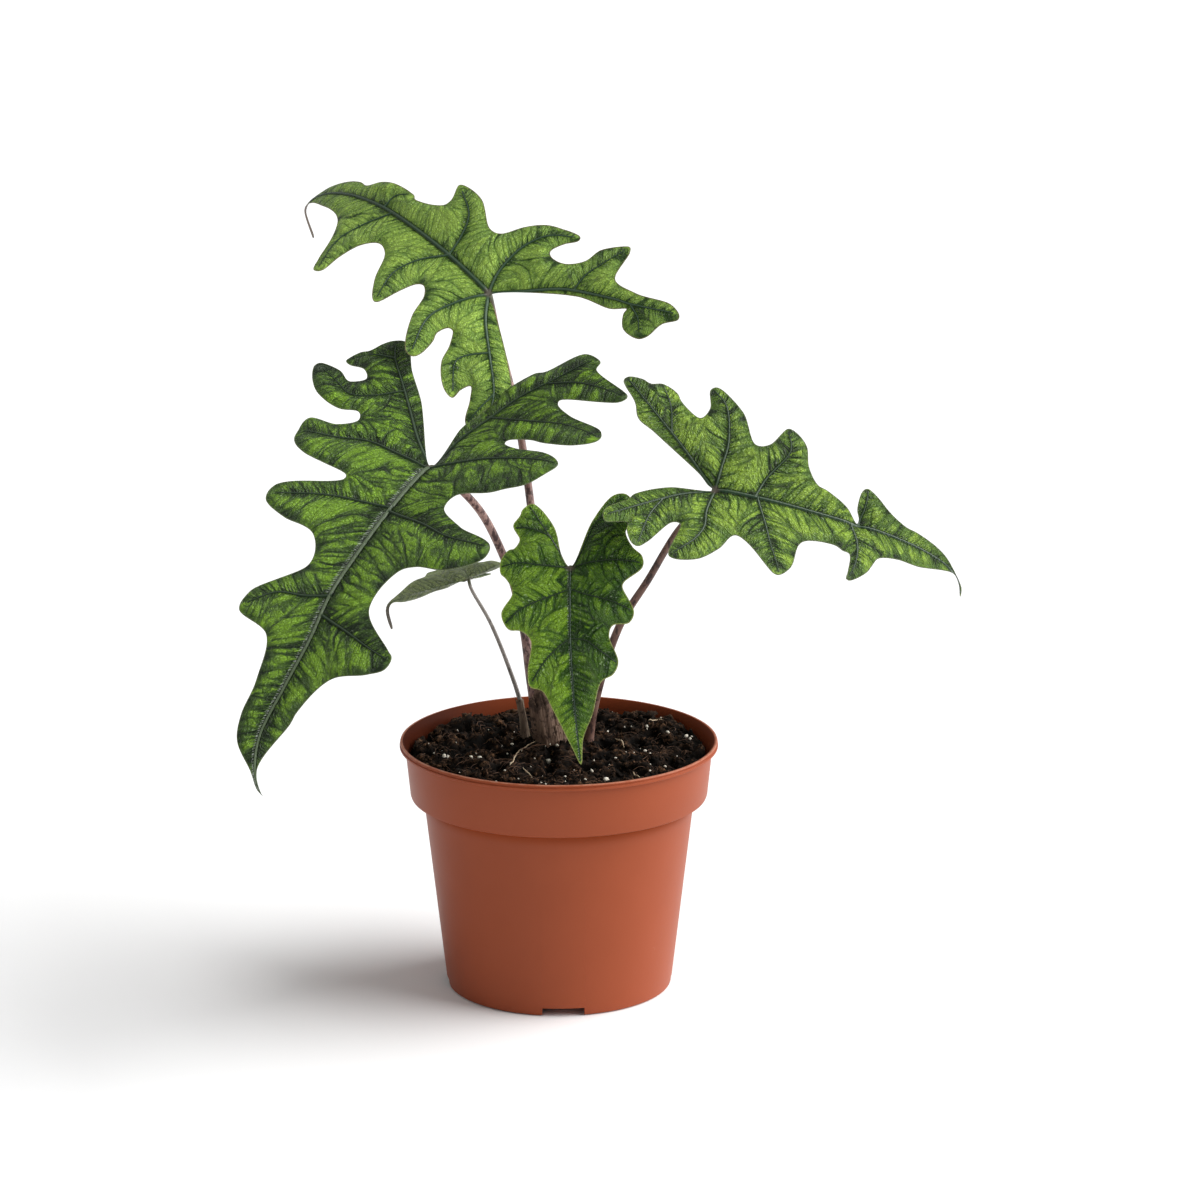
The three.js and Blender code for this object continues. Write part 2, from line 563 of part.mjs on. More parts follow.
// The wrapped feet of the stalks, each sheath's edge standing a little over the next, on the corm.
function stemGeometry() {
  const rings = STEM_SECTIONS.map(({ z, x, y, rx, ry }) => Array.from({ length: STEM_SIDES }, (_, k) => {
    const angle = 2 * Math.PI * k / STEM_SIDES;
    const step = z > SOIL_LEVEL ? SHEATH_LIFT * ((SHEATH_STEPS * k / STEM_SIDES) % 1) : 0;
    return new THREE.Vector3(x + rx * (1 - step) * Math.cos(angle), y + ry * (1 - step) * Math.sin(angle), z);
  }));
  return geometryOf(solid(skin(rings)));
}

function potGeometry() {
  const lipFoot = POT_HEIGHT - LIP_HEIGHT;
  const outside = [
    [0, 0], [PAD_RADIUS, 0], [PAD_RADIUS + 1.2, FLOOR_HEIGHT],
    [BASE_RADIUS - 3.6, FLOOR_HEIGHT], [BASE_RADIUS - 2.6, 0], [BASE_RADIUS - 1.4, 0],
    [BASE_RADIUS - 0.4, 0.5], [BASE_RADIUS, 1.8],
    [SHOULDER_RADIUS, SHOULDER_HEIGHT], [SHOULDER_RADIUS + 0.9, SHOULDER_HEIGHT + 0.9],
    [COLLAR_FOOT_RADIUS, COLLAR_FOOT_HEIGHT - 1.4], [COLLAR_FOOT_RADIUS + 0.3, COLLAR_FOOT_HEIGHT],
    [COLLAR_TOP_RADIUS, lipFoot - 0.9], [COLLAR_TOP_RADIUS + 1.2, lipFoot - 0.2],
    [RIM_RADIUS, lipFoot + 0.7], [RIM_RADIUS, POT_HEIGHT - 0.7], [RIM_RADIUS - 0.8, POT_HEIGHT],
  ];
  const inside = [
    [COLLAR_TOP_RADIUS - 0.6, POT_HEIGHT], [COLLAR_TOP_RADIUS - POT_WALL, POT_HEIGHT - 1.2],
    [COLLAR_FOOT_RADIUS - POT_WALL, COLLAR_FOOT_HEIGHT + 1],
    [SHOULDER_RADIUS - POT_WALL, SHOULDER_HEIGHT + 1.4],
    [BASE_RADIUS - POT_WALL, FLOOR_HEIGHT + 2.4], [BASE_RADIUS - POT_WALL - 1, FLOOR_HEIGHT + POT_WALL],
    [0, FLOOR_HEIGHT + POT_WALL],
  ];
  let pot = solid(turned([...outside, ...inside], POT_SEGMENTS));
  for (let i = 0; i < 4; i++) {
    const notch = new THREE.BoxGeometry(8, NOTCH_WIDTH, 2 * FLOOR_HEIGHT);
    notch.translate(BASE_RADIUS - 1, 0, -0.1).rotateZ(radians(90 * i + NOTCH_TURN));
    pot = pot.subtract(solid(notch));
  }
  for (let i = 0; i < DRAIN_COUNT; i++) {
    const drain = new THREE.CylinderGeometry(DRAIN_RADIUS, DRAIN_RADIUS, 4, 10).rotateX(Math.PI / 2);
    drain.translate(DRAIN_CIRCLE, 0, FLOOR_HEIGHT + POT_WALL / 2).rotateZ(2 * Math.PI * i / DRAIN_COUNT);
    pot = pot.subtract(solid(drain));
  }
  return geometryOf(pot);
}

// Height of the soil: lumps in three sizes on a low heap round the stem.
function soilHeight(x, y) {
  const heap = SOIL_HEAP * Math.exp(-((x - STEM_X) ** 2 + (y - STEM_Y) ** 2) / 600);
  const broad = 0.9 * Math.sin(x / 9 + 1.3) * Math.cos(y / 8 - 0.4);
  const middle = 0.8 * Math.sin(x / 3.9 + y / 6.1) * Math.sin(y / 4.3 - x / 7.7 + 2);
  const fine = 0.5 * Math.sin(x / 2.1 - y / 3.3 + 0.7) * Math.cos(y / 2.4 + x / 5.2);
  return SOIL_LEVEL + heap + broad + middle + fine;
}

function soilGeometry() {
  const inner = (radius) => radius - POT_WALL - GAP;
  const rimRadius = inner(COLLAR_FOOT_RADIUS + (COLLAR_TOP_RADIUS - COLLAR_FOOT_RADIUS) * 0.55);
  const profile = [];
  for (let i = 0; i <= SOIL_RINGS; i++) profile.push([rimRadius * i / SOIL_RINGS, SOIL_LEVEL]);
  profile.push(
    [inner(COLLAR_FOOT_RADIUS), COLLAR_FOOT_HEIGHT + 1.4],
    [inner(SHOULDER_RADIUS) - 0.2, SHOULDER_HEIGHT + 1],
    [inner(BASE_RADIUS) - 0.6, FLOOR_HEIGHT + 3.2],
    [inner(BASE_RADIUS) - 1.6, FLOOR_HEIGHT + POT_WALL + GAP],
    [0, FLOOR_HEIGHT + POT_WALL + GAP],
  );
  const body = turned(profile, SOIL_SEGMENTS);
  const position = body.attributes.position;
  for (let i = 0; i < position.count; i++) {
    if (Math.abs(position.getZ(i) - SOIL_LEVEL) > 1e-3) continue;
    const [x, y] = [position.getX(i), position.getY(i)];
    position.setZ(i, soilHeight(x, y));
  }
  const socket = turned([
    [0, SOCKET_FLOOR], [4.2, SOCKET_FLOOR + 0.2], [8, 54.4], [9.6, 63], [8, 71.8], [5.8, 77.4],
    [5.6, POT_HEIGHT + 4], [0, POT_HEIGHT + 4],
  ], 20).translate(STEM_X, STEM_Y, 0);
  let soil = solid(body).subtract(solid(socket));
  for (const [stalk, depth] of [[STALKS.right, 80], [STALKS.small, 82.5]]) {
    const [x, y] = stalk.path[0];
    const radius = stalk.foot + GAP + 0.25;
    const hole = new THREE.CylinderGeometry(radius, radius, 40, 12).rotateX(Math.PI / 2);
    soil = soil.subtract(solid(hole.translate(x, y, depth + 20 - GAP)));
  }
  return geometryOf(soil);
}

const part = new THREE.Group();

function addPiece(name, geometry, colour, roughness) {
  const material = new THREE.MeshStandardMaterial({ color: colour, roughness, metalness: 0 });
  const mesh = new THREE.Mesh(geometry, material);
  mesh.name = name;
  part.add(mesh);
}

addPiece('pot', potGeometry(), COLOURS.pot, 0.55);
addPiece('soil', soilGeometry(), COLOURS.soil, 0.95);
addPiece('stem', stemGeometry(), COLOURS.stem, 0.8);
for (const [name, leaf] of Object.entries(LEAVES)) {
  addPiece(`stalk_${name}`, stalkGeometry(STALKS[name], leaf), COLOURS.stalk, 0.6);
  addPiece(`blade_${name}`, bladeGeometry(leaf), name === 'small' ? COLOURS.underside : COLOURS.blade, 0.45);
}

export default part;
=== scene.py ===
# Looks of the potted jacklyn alocasia: five net-veined lobed blades on arching stalks in a nursery pot.
# Plant sizes are in millimetres, and MM turns them into Blender's metres.

import math

import bpy
import numpy as np
from mathutils import Euler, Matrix, Vector, geometry, kdtree, noise


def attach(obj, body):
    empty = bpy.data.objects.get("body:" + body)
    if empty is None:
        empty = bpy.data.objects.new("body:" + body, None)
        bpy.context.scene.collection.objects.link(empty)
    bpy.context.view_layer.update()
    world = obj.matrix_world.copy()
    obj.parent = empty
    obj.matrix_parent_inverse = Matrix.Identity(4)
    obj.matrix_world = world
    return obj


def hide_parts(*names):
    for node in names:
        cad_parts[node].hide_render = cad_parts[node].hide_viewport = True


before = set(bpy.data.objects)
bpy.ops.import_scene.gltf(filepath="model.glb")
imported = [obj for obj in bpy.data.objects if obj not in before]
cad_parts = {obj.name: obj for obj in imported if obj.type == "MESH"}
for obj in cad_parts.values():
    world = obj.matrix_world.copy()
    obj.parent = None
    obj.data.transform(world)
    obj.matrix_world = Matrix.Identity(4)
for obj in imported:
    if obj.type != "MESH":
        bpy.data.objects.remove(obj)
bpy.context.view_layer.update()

MM = 0.001

# Pot, from the rim's diameter of a common 12 cm nursery pot.
RIM_RADIUS = 60
POT_HEIGHT = 95.6
POT_WALL = 1.5
BASE_RADIUS = 42.8
SHOULDER_RADIUS = 51.1
SHOULDER_HEIGHT = 73.2
COLLAR_FOOT_RADIUS = 56
COLLAR_FOOT_HEIGHT = 74.6
COLLAR_TOP_RADIUS = 57.9
LIP_HEIGHT = 2.4
FLOOR_HEIGHT = 3.3
PAD_RADIUS = 12
POT_SIDES = 160
NOTCH_WIDTH = 15.8
NOTCH_TURN = 2.5
DRAIN_RADIUS = 3
DRAIN_CIRCLE = 28
DRAIN_COUNT = 8
DRAIN_SIDES = 32
CUT_DEPTH = 8

# Soil: its level, the low heap round the stem and the grain of the modelled surface.
SOIL_LEVEL = 91
SOIL_HEAP = 1.6
SOIL_RADIUS = 55.1
SOIL_GRAIN = 0.56
SOIL_ROW_STEP = SOIL_GRAIN * 0.866
SOIL_SIDES = 480
STEM_X = -3
STEM_Y = 7
# Mounds and hollows of the soil: their middles, height and spread.
MOUNDS = ((STEM_X, STEM_Y, SOIL_HEAP, 600), (-35, 27, 3.0, 85), (28, 38, 1.6, 120), (44, 22, 2.2, 150),
          (-21, -1, -2.4, 80))

# Blades: spacing of modelled points, thickness, and the relief of ribs, quilting and margin.
EDGE_STEP = 0.7
RIB_STEP = 0.7
FILL_STEP = 0.78
BLADE_THICKNESS = 0.62
MARGIN_THICKNESS = 0.26
MIDRIB_DEPTH = 1.0
RIB_DEPTH = 0.5
RIB_CREST = 0.55
RIB_DITCH = 0.45
QUILT_HEIGHT = 1.0
QUILT_WIDTH = 5
PUCKER_HEIGHT = 0.32
PUCKER_WIDTH = 0.9
GRAIN_HEIGHT = 0.07
SWAY_HEIGHT = 0.8
SWAY_LENGTH = 17
VEIN_KEEL = 0.18
MARGIN_CURL = 1.1
MARGIN_WIDTH = 3
FOLD_WIDTH = 6
DRIP_REACH = 30
BACK_REACH = 80

# Side veins set off from the ribs at this spacing and lean, forks fill the gaps and rungs close the net.
SIDE_SPACING = 2.0
SIDE_LEAN = 60
SIDE_REACH = 60
EDGE_PULL = 0.11
VEIN_STEP = 0.8
VEIN_WANDER = 0.06
# A growing vein ends this near the margin or a rib, and joins another vein that is this near.
MARGIN_STOP = 1.1 * VEIN_STEP
RIB_STOP = 0.6
MEETING_REACH = 0.68
INFILL_GAPS = (2.2, 1.5)
INFILL_REACH = 25
RUNG_SPACING = 1.5
FORK_FAINTNESS = 0.4
GRAIN_REACH = 12
# Rows of points along a rib, in half widths from its middle, and the spacing of the dark teeth beside it.
FLANKS = (-1.6, -1, -0.5, 0.5, 1, 1.6)
TOOTH_SPACING = 1.25
# Rounds in which the random tone of each vein's surroundings is evened out.
TONE_ROUNDS = 6

# Rings and sides of the modelled stalks and stem, and the grid of each dry wrap.
RING_STEP = 1.2
STALK_SIDES = 20
STEM_SIDES = 96
WRAP_COLUMNS = 64
WRAP_ROWS = 24

# The camera looks a little down at the plant from the front, in metres, degrees and millimetres of film.
CAMERA_PLACE = (0.0155, -1.807, 0.634)
CAMERA_TILT = 75
CAMERA_LENS = 150
FILM_WIDTH = 36
SKY_STRENGTH = 0.38
FLOOR_SIZE = 12

# Half the width of each blade's midrib where it leaves the stalk.
MIDRIB_HALF_WIDTH = {"left": 1.0, "top": 0.85, "right": 0.8, "front": 0.4, "small": 0.3}

LEAVES = {
    "left": {
        "attach": (-46.2, -32, 209.8), "heading": -120, "pitch": -18, "roll": 0, "droop": 40, "lift": 20,
        "twist": 9, "back_twist": 0, "hook": 0, "hook_span": 1, "length": 155, "fold": 0.21, "cup": 0.12,
        "outline": [
            (0, 0), (23, -34), (34, -48), (43.5, -62), (49, -61), (55, -53.5), (58, -51.5), (61, -45.5),
            (58, -43.5), (51.5, -42.5), (48, -37.5), (53.5, -34.5), (60, -39), (69.5, -41), (71, -38.5),
            (62, -24), (48.5, -17.5), (41, -18.5), (38, -13), (44, -8), (55.5, -7.5), (53.5, 7), (45.5, 13.5),
            (24.5, 19), (24, 21.5), (45, 34), (44.5, 42), (33.5, 48), (20, 51.5), (15, 65), (29.5, 82.5),
            (30, 90.5), (16.5, 97), (12.5, 115), (13, 129), (11, 138.5), (3.5, 147.5), (-1, 153.5),
            (-5.5, 156), (-3, 154.5), (1.5, 146), (-5.5, 128), (-6.5, 123), (-14.5, 109), (-28, 105.5),
            (-34.5, 102), (-35, 97), (-32.5, 94.5), (-17, 78.5), (-20.5, 61), (-26.5, 58.5), (-39.5, 59),
            (-50, 54.5), (-52.5, 51), (-51, 45), (-34.5, 37.5), (-22, 27.5), (-23, 21), (-36.5, 18.5),
            (-41.5, 16), (-50.5, 12.5), (-55.5, 2), (-53.5, -2.5), (-45.5, -7.5), (-30.5, -11), (-24, -14.5),
            (-24, -16.5), (-34, -16.5), (-42, -14), (-55.5, -12.5), (-63, -16.5), (-61, -23), (-42.5, -32.5),
            (-34, -39), (-33.5, -41.5), (-59, -41.5), (-61, -43.5), (-60.5, -46), (-40, -60), (-39.5, -64.5),
            (-30, -69), (-17, -59.5), (-13, -58.5), (-5, -48), (-5, -44.5), (1, -24.5),
        ],
        "midrib": [(0, 0), (0.5, 50), (1.5, 75), (0.5, 95), (2, 115), (4, 135), (1.5, 148), (-4.5, 156)],
        "veins": [
            [(0, 0), (12, -12), (23, -26), (33, -39), (43, -52), (46, -58)],
            [(43, -52), (53, -51), (59, -47)], [(31, -36), (41, -29), (49, -27), (57, -32), (67, -38)],
            [(0, 2), (15, -1), (28, -3), (40, 0), (53, 1)], [(0, 29), (12, 30), (25, 32), (42, 38)],
            [(1, 75), (10, 78), (20, 80), (28, 87)],
            [(0, 0), (-2, -17), (-8, -32), (-14, -44), (-24, -54), (-35, -65)],
            [(-23, -52), (-37, -52), (-58, -46)], [(-6, -32), (-26, -29), (-45, -26), (-60, -20)],
            [(0, 2), (-20, -3), (-37, -3), (-53, -1)], [(0, 31), (-18, 37), (-32, 43), (-49, 46)],
            [(0, 84), (-12, 89), (-25, 95), (-33, 98)],
        ],
    },
    "top": {
        "attach": (-26.7, 42, 258.7), "heading": 134, "pitch": 26, "roll": 34, "droop": 44, "lift": 0,
        "twist": 11, "back_twist": 16, "hook": 60, "hook_span": 14, "length": 138, "fold": 0.18, "cup": 0.13,
        "outline": [
            (0, -1), (-3, -7.5), (-28.5, -49.5), (-40.5, -50.5), (-44, -45), (-43, -40), (-36, -34.5),
            (-32, -30), (-35.5, -28.5), (-40, -29), (-40, -24), (-33.5, -14.5), (-26.5, -10.5), (-21.5, -6),
            (-22, -4), (-26.5, -3), (-30, -5), (-37, -6.5), (-40, -5.5), (-40.5, -2), (-28.5, 10),
            (-18.5, 15.5), (-15.5, 20.5), (-17, 23), (-33, 27), (-33, 29.5), (-26.5, 37.5), (-14.5, 48),
            (-12.5, 55.5), (-17.5, 61.5), (-26.5, 64), (-35, 64), (-36.5, 68), (-31.5, 72.5), (-16, 84.5),
            (-10, 95.5), (-7, 118), (-6, 126), (-5.2, 134), (-5.5, 141), (-6.9, 147), (-8.5, 160.9),
            (-8.2, 160.9), (-6, 147), (-3.1, 142), (-0.2, 137), (3.2, 130), (7, 114), (8, 103.5), (7.5, 97.5),
            (11, 88.5), (13, 75), (12.5, 65.5), (11, 62), (15.5, 47.5), (18.5, 47), (25.5, 50), (26, 36),
            (19, 22), (20, 17), (28, 11.5), (35.5, 4), (39.5, -8.5), (38, -9.5), (33, -6), (27.5, -5),
            (26, -7.5), (27.5, -14), (33.5, -19.5), (40.5, -21), (48.5, -29), (47, -31), (35.5, -36),
            (36.5, -47.5), (42, -63.5), (41, -70), (39.5, -71), (34.5, -67), (27.5, -65.5), (24.5, -63),
            (23.5, -55), (28, -50), (30, -49.5), (26, -44), (21, -28),
        ],
        "midrib": [(0, 0), (1, 25), (1.5, 50), (2, 74), (1, 105), (-1, 126), (-3, 136), (-6, 144), (-8, 158)],
        "veins": [
            [(0, 0), (8, -8), (20, -22), (29, -41), (34, -54), (40, -67)],
            [(22, -26), (30, -25), (38, -27), (46, -29)], [(32, -50), (30, -57), (27, -61)],
            [(0, 0), (9, 4), (22, 5), (32, 1), (38, -7)], [(1, 26), (10, 29), (18, 34), (24, 46)],
            [(2, 74), (8, 74), (12, 69)], [(0, 0), (-9, -10), (-18, -24), (-28, -39), (-38, -47)],
            [(-18, -23), (-24, -19), (-29, -18), (-38, -27)], [(-28, -39), (-36, -40), (-42, -41)],
            [(-1, 0), (-12, 4), (-24, 5), (-38, -3)], [(1, 26), (-8, 33), (-18, 35), (-31, 29)],
            [(2, 67), (-8, 73), (-20, 75), (-34, 67)],
        ],
    },
    "right": {
        "attach": (58.1, -8, 194.5), "heading": -2, "pitch": -10, "roll": -44, "droop": 30, "lift": 20,
        "twist": -3, "back_twist": 0, "hook": 0, "hook_span": 1, "length": 102, "fold": 0.26, "cup": 0.09,
        "outline": [
            (0, -0.5), (-2, -3), (-5.5, -6.5), (-17, -26), (-20.5, -33.5), (-26.5, -36), (-33.5, -42),
            (-35.5, -40.5), (-36, -35), (-35, -31.5), (-36.5, -26.5), (-34, -20.5), (-31, -18), (-26.5, -10),
            (-31, -7), (-38.5, -8), (-40, -5.5), (-32, 5.5), (-20.5, 12), (-21.5, 17), (-29.5, 22.5),
            (-29.5, 24.5), (-24.5, 30.5), (-16.5, 33), (-11, 37.5), (-10, 41.5), (-6, 50.5), (-1.5, 55.5),
            (-3.5, 56), (-7, 54.5), (-14.5, 55), (-16, 57), (-10, 66.5), (-7, 75), (-6.5, 80), (-2, 95.5),
            (6.5, 103), (11, 102.5), (6, 102), (2.5, 100), (2, 98), (7, 83), (8, 74), (10.5, 66.5),
            (12, 64.5), (20, 60.5), (26, 54), (25.5, 53), (21.5, 53.5), (13.5, 53.5), (13.5, 50.5),
            (12.5, 47.5), (14.5, 36), (17.5, 33.5), (28.5, 31.5), (33.5, 27.5), (33.5, 25.5), (20, 10),
            (28.5, 4.5), (35, -2.5), (36, -13.5), (20, -11), (20, -14), (32, -22.5), (35, -26), (34, -28.5),
            (28.5, -31), (25.5, -31), (27.5, -39.5), (25.5, -40.5), (21.5, -40), (13.5, -31.5), (10.5, -29.5),
            (3, -16.5),
        ],
        "midrib": [(0, 0), (0, 15), (0, 44), (-1, 68), (-0.5, 86), (1.5, 98), (4, 101), (9, 102.5)],
        "veins": [
            [(0, 0), (4, -10), (11, -21), (24, -39)], [(10, -19), (19, -23), (33, -26)],
            [(0, 0), (11, -2), (19, -2), (26, -5), (34, -12)], [(0, 16), (11, 20), (21, 23), (32, 27)],
            [(0, 53), (8, 56), (17, 56), (24, 54)], [(0, 0), (-8, -8), (-16, -17), (-27, -31), (-34, -40)],
            [(-19, -20), (-28, -22), (-35, -26)], [(0, 0), (-9, 1), (-19, 2), (-33, -1), (-38, -6)],
            [(0, 15), (-8, 18), (-21, 25), (-28, 23)], [(-1, 56), (-8, 57), (-15, 57)],
        ],
    },
    "front": {
        "attach": (4.5, -28, 169.9), "heading": -89, "pitch": -50, "roll": -8, "droop": 27, "lift": -12,
        "twist": -2, "back_twist": 0, "hook": 0, "hook_span": 1, "length": 75, "fold": 0.19, "cup": 0.13,
        "outline": [
            (0, -0.5), (3, -5), (6, -17.5), (14, -27.5), (17.5, -25), (18.5, -22), (21, -18), (18.5, -11.5),
            (20.5, -8), (22.5, -7.5), (25.5, -3.5), (25.5, 2), (24, 3.5), (21.5, 8), (21.5, 10.5),
            (25.5, 17.5), (23, 23.5), (18.5, 24.5), (15, 28), (16.5, 39.5), (16, 45), (11.5, 47), (8, 54),
            (2, 68), (-1, 74.5), (-2.5, 65), (-6.5, 56.5), (-10.5, 45), (-15, 42.5), (-17, 38), (-14, 28),
            (-15.5, 24.5), (-21.5, 24), (-23.5, 20), (-19.5, 10), (-20, 8.5), (-27, 3), (-27, -1.5),
            (-23.5, -5.5), (-21, -12.5), (-24.5, -17), (-25.5, -20), (-21, -28.5), (-16.5, -28.5),
            (-8.5, -19),
        ],
        "midrib": [(0, 0), (0.3, 15), (0.5, 30), (0, 50), (-0.5, 64), (-0.8, 73)],
        "veins": [
            [(0, 0), (4, -7), (8, -14), (15, -26)], [(7, -13), (14, -16), (20, -17)],
            [(0, 0), (11, -1), (18, -2), (25, -1)], [(0, 9), (6, 11), (18, 16), (24, 21)],
            [(0.5, 28), (5, 31), (10, 36), (15, 43)], [(0, 0), (-4, -6), (-8, -15), (-14, -22), (-20, -27)],
            [(-13, -20), (-18, -19.5), (-24, -20)], [(0, 0), (-7, -1), (-15, -1), (-26, 1)],
            [(0, 9), (-7, 12), (-15, 15), (-22, 19)], [(0.5, 28), (-5, 29), (-10, 33), (-16, 38)],
        ],
    },
    "small": {
        "attach": (-34.4, 20.5, 153.7), "heading": 173.5, "pitch": -17, "roll": -22, "droop": 8.5,
        "lift": -18, "twist": -17, "back_twist": 0, "hook": 62, "hook_span": 6, "length": 28.5, "fold": 0.52,
        "cup": 0.26,
        "outline": [
            (0, -0.5), (1.8, -3.5), (4, -6), (6.5, -7.5), (8.5, -6.5), (9, -4.5), (10.6, -2), (11, 1.5),
            (8.8, 4.5), (9.2, 8.5), (8.8, 12), (6.6, 14), (5.7, 20), (1.5, 26.5), (-2, 30), (-2, 34.5),
            (0.9, 40.6), (0.3, 40.9), (-3.4, 35), (-3.8, 30), (-5.4, 26), (-8.1, 20), (-9.3, 14.5),
            (-12.4, 12), (-13, 8.5), (-12.4, 4.8), (-15.5, 1.5), (-14.9, -3.4), (-13, -8), (-14.3, -13),
            (-11.2, -16.2), (-6.2, -12.3), (-2.5, -5.6),
        ],
        "midrib": [(0, 0), (-0.5, 14), (-2.4, 26), (-2.8, 34), (0, 39.5)],
        "veins": [
            [(0, 0), (3, -3), (6, -5.5)], [(0, 0), (5.5, -1), (10, 0)], [(0, 6), (4, 8), (8, 10.5)],
            [(0, 0), (-5, -7), (-11, -14)], [(0, 0), (-8, -1), (-14, 0)], [(0, 6), (-6, 8), (-11, 10)],
        ],
    },
}


def smooth_line(points, step, closed=False):
    """Points about a step apart along the centripetal curve through the given ones."""
    points = [np.array(p, float) for p in points]
    count = len(points)
    out = []
    for i in range(count if closed else count - 1):
        p1, p2 = points[i], points[(i + 1) % count]
        p0 = points[i - 1] if closed or i > 0 else 2 * p1 - p2
        p3 = points[(i + 2) % count] if closed or i + 2 < count else 2 * p2 - p1
        spans = [math.sqrt(np.linalg.norm(b - a)) for a, b in ((p0, p1), (p1, p2), (p2, p3))]
        t1, t2, t3 = np.cumsum(spans)
        pieces = max(1, round(float(np.linalg.norm(p2 - p1)) / step))
        t = (t1 + (t2 - t1) * np.arange(pieces) / pieces)[:, None]
        a1 = ((t1 - t) * p0 + t * p1) / t1
        a2 = ((t2 - t) * p1 + (t - t1) * p2) / (t2 - t1)
        a3 = ((t3 - t) * p2 + (t - t2) * p3) / (t3 - t2)
        b1 = ((t2 - t) * a1 + t * a2) / t2
        b2 = ((t3 - t) * a2 + (t - t1) * a3) / (t3 - t1)
        out.append(((t2 - t) * b1 + (t - t1) * b2) / (t2 - t1))
    if not closed:
        out.append(points[-1][None])
    return np.concatenate(out)


def smoothstep(value, low, high):
    t = np.clip((np.asarray(value, float) - low) / (high - low), 0, 1)
    return t * t * (3 - 2 * t)


def run_along(line):
    """How far along a line each of its points lies."""
    return np.concatenate([[0], np.cumsum(np.linalg.norm(np.diff(line, axis=0), axis=1))])


def unit(vector):
    return vector / np.linalg.norm(vector)


def bell(away, width):
    """1 on a line, falling off smoothly to both sides."""
    return np.exp(-((away / width) ** 2))


def turns(count):
    """Angles evenly spaced round a circle."""
    return np.arange(count) * 2 * math.pi / count


def wobble(spots):
    """Smooth random values at places in space, between -1 and 1."""
    return np.array([noise.noise(Vector(spot)) for spot in spots])


def search_tree(points):
    tree = kdtree.KDTree(len(points))
    for i, (x, y) in enumerate(points):
        tree.insert((x, y, 0), i)
    tree.balance()
    return tree


def cell_of(spot):
    return int(spot[0] // 1), int(spot[1] // 1)


def around(taken, spot):
    """What was put down in the cell of a flat place and in the eight cells round it."""
    column, row = cell_of(spot)
    return [item for dx in (-1, 0, 1) for dy in (-1, 0, 1) for item in taken.get((column + dx, row + dy), ())]


class Lines:
    """Flat polylines that answer how far a point is from the nearest of them, and which way."""

    def __init__(self, lines, closed=False):
        stretches = []
        for number, line in enumerate(lines):
            line = np.vstack([line, line[:1]]) if closed else np.asarray(line, float)
            stretches.append((line[:-1], line[1:], run_along(line)[:-1], np.full(len(line) - 1, number)))
        self.starts, self.ends, self.along, self.owner = map(np.concatenate, zip(*stretches))
        self.tree = search_tree((self.starts + self.ends) / 2)

    def near(self, points):
        """Distance to the nearest line, the nearest point on it, and the number of its stretch."""
        points = np.asarray(points, float).reshape(-1, 2)
        picks = np.array([[found[1] for found in self.tree.find_n((x, y, 0), 3)] for x, y in points])
        points = points[:, None]
        a, d = self.starts[picks], self.ends[picks] - self.starts[picks]
        t = np.clip(((points - a) * d).sum(2) / np.maximum((d * d).sum(2), 1e-9), 0, 1)
        foot = a + t[:, :, None] * d
        far = np.linalg.norm(points - foot, axis=2)
        best = np.arange(len(far)), far.argmin(1)
        return far[best], foot[best], picks[best]


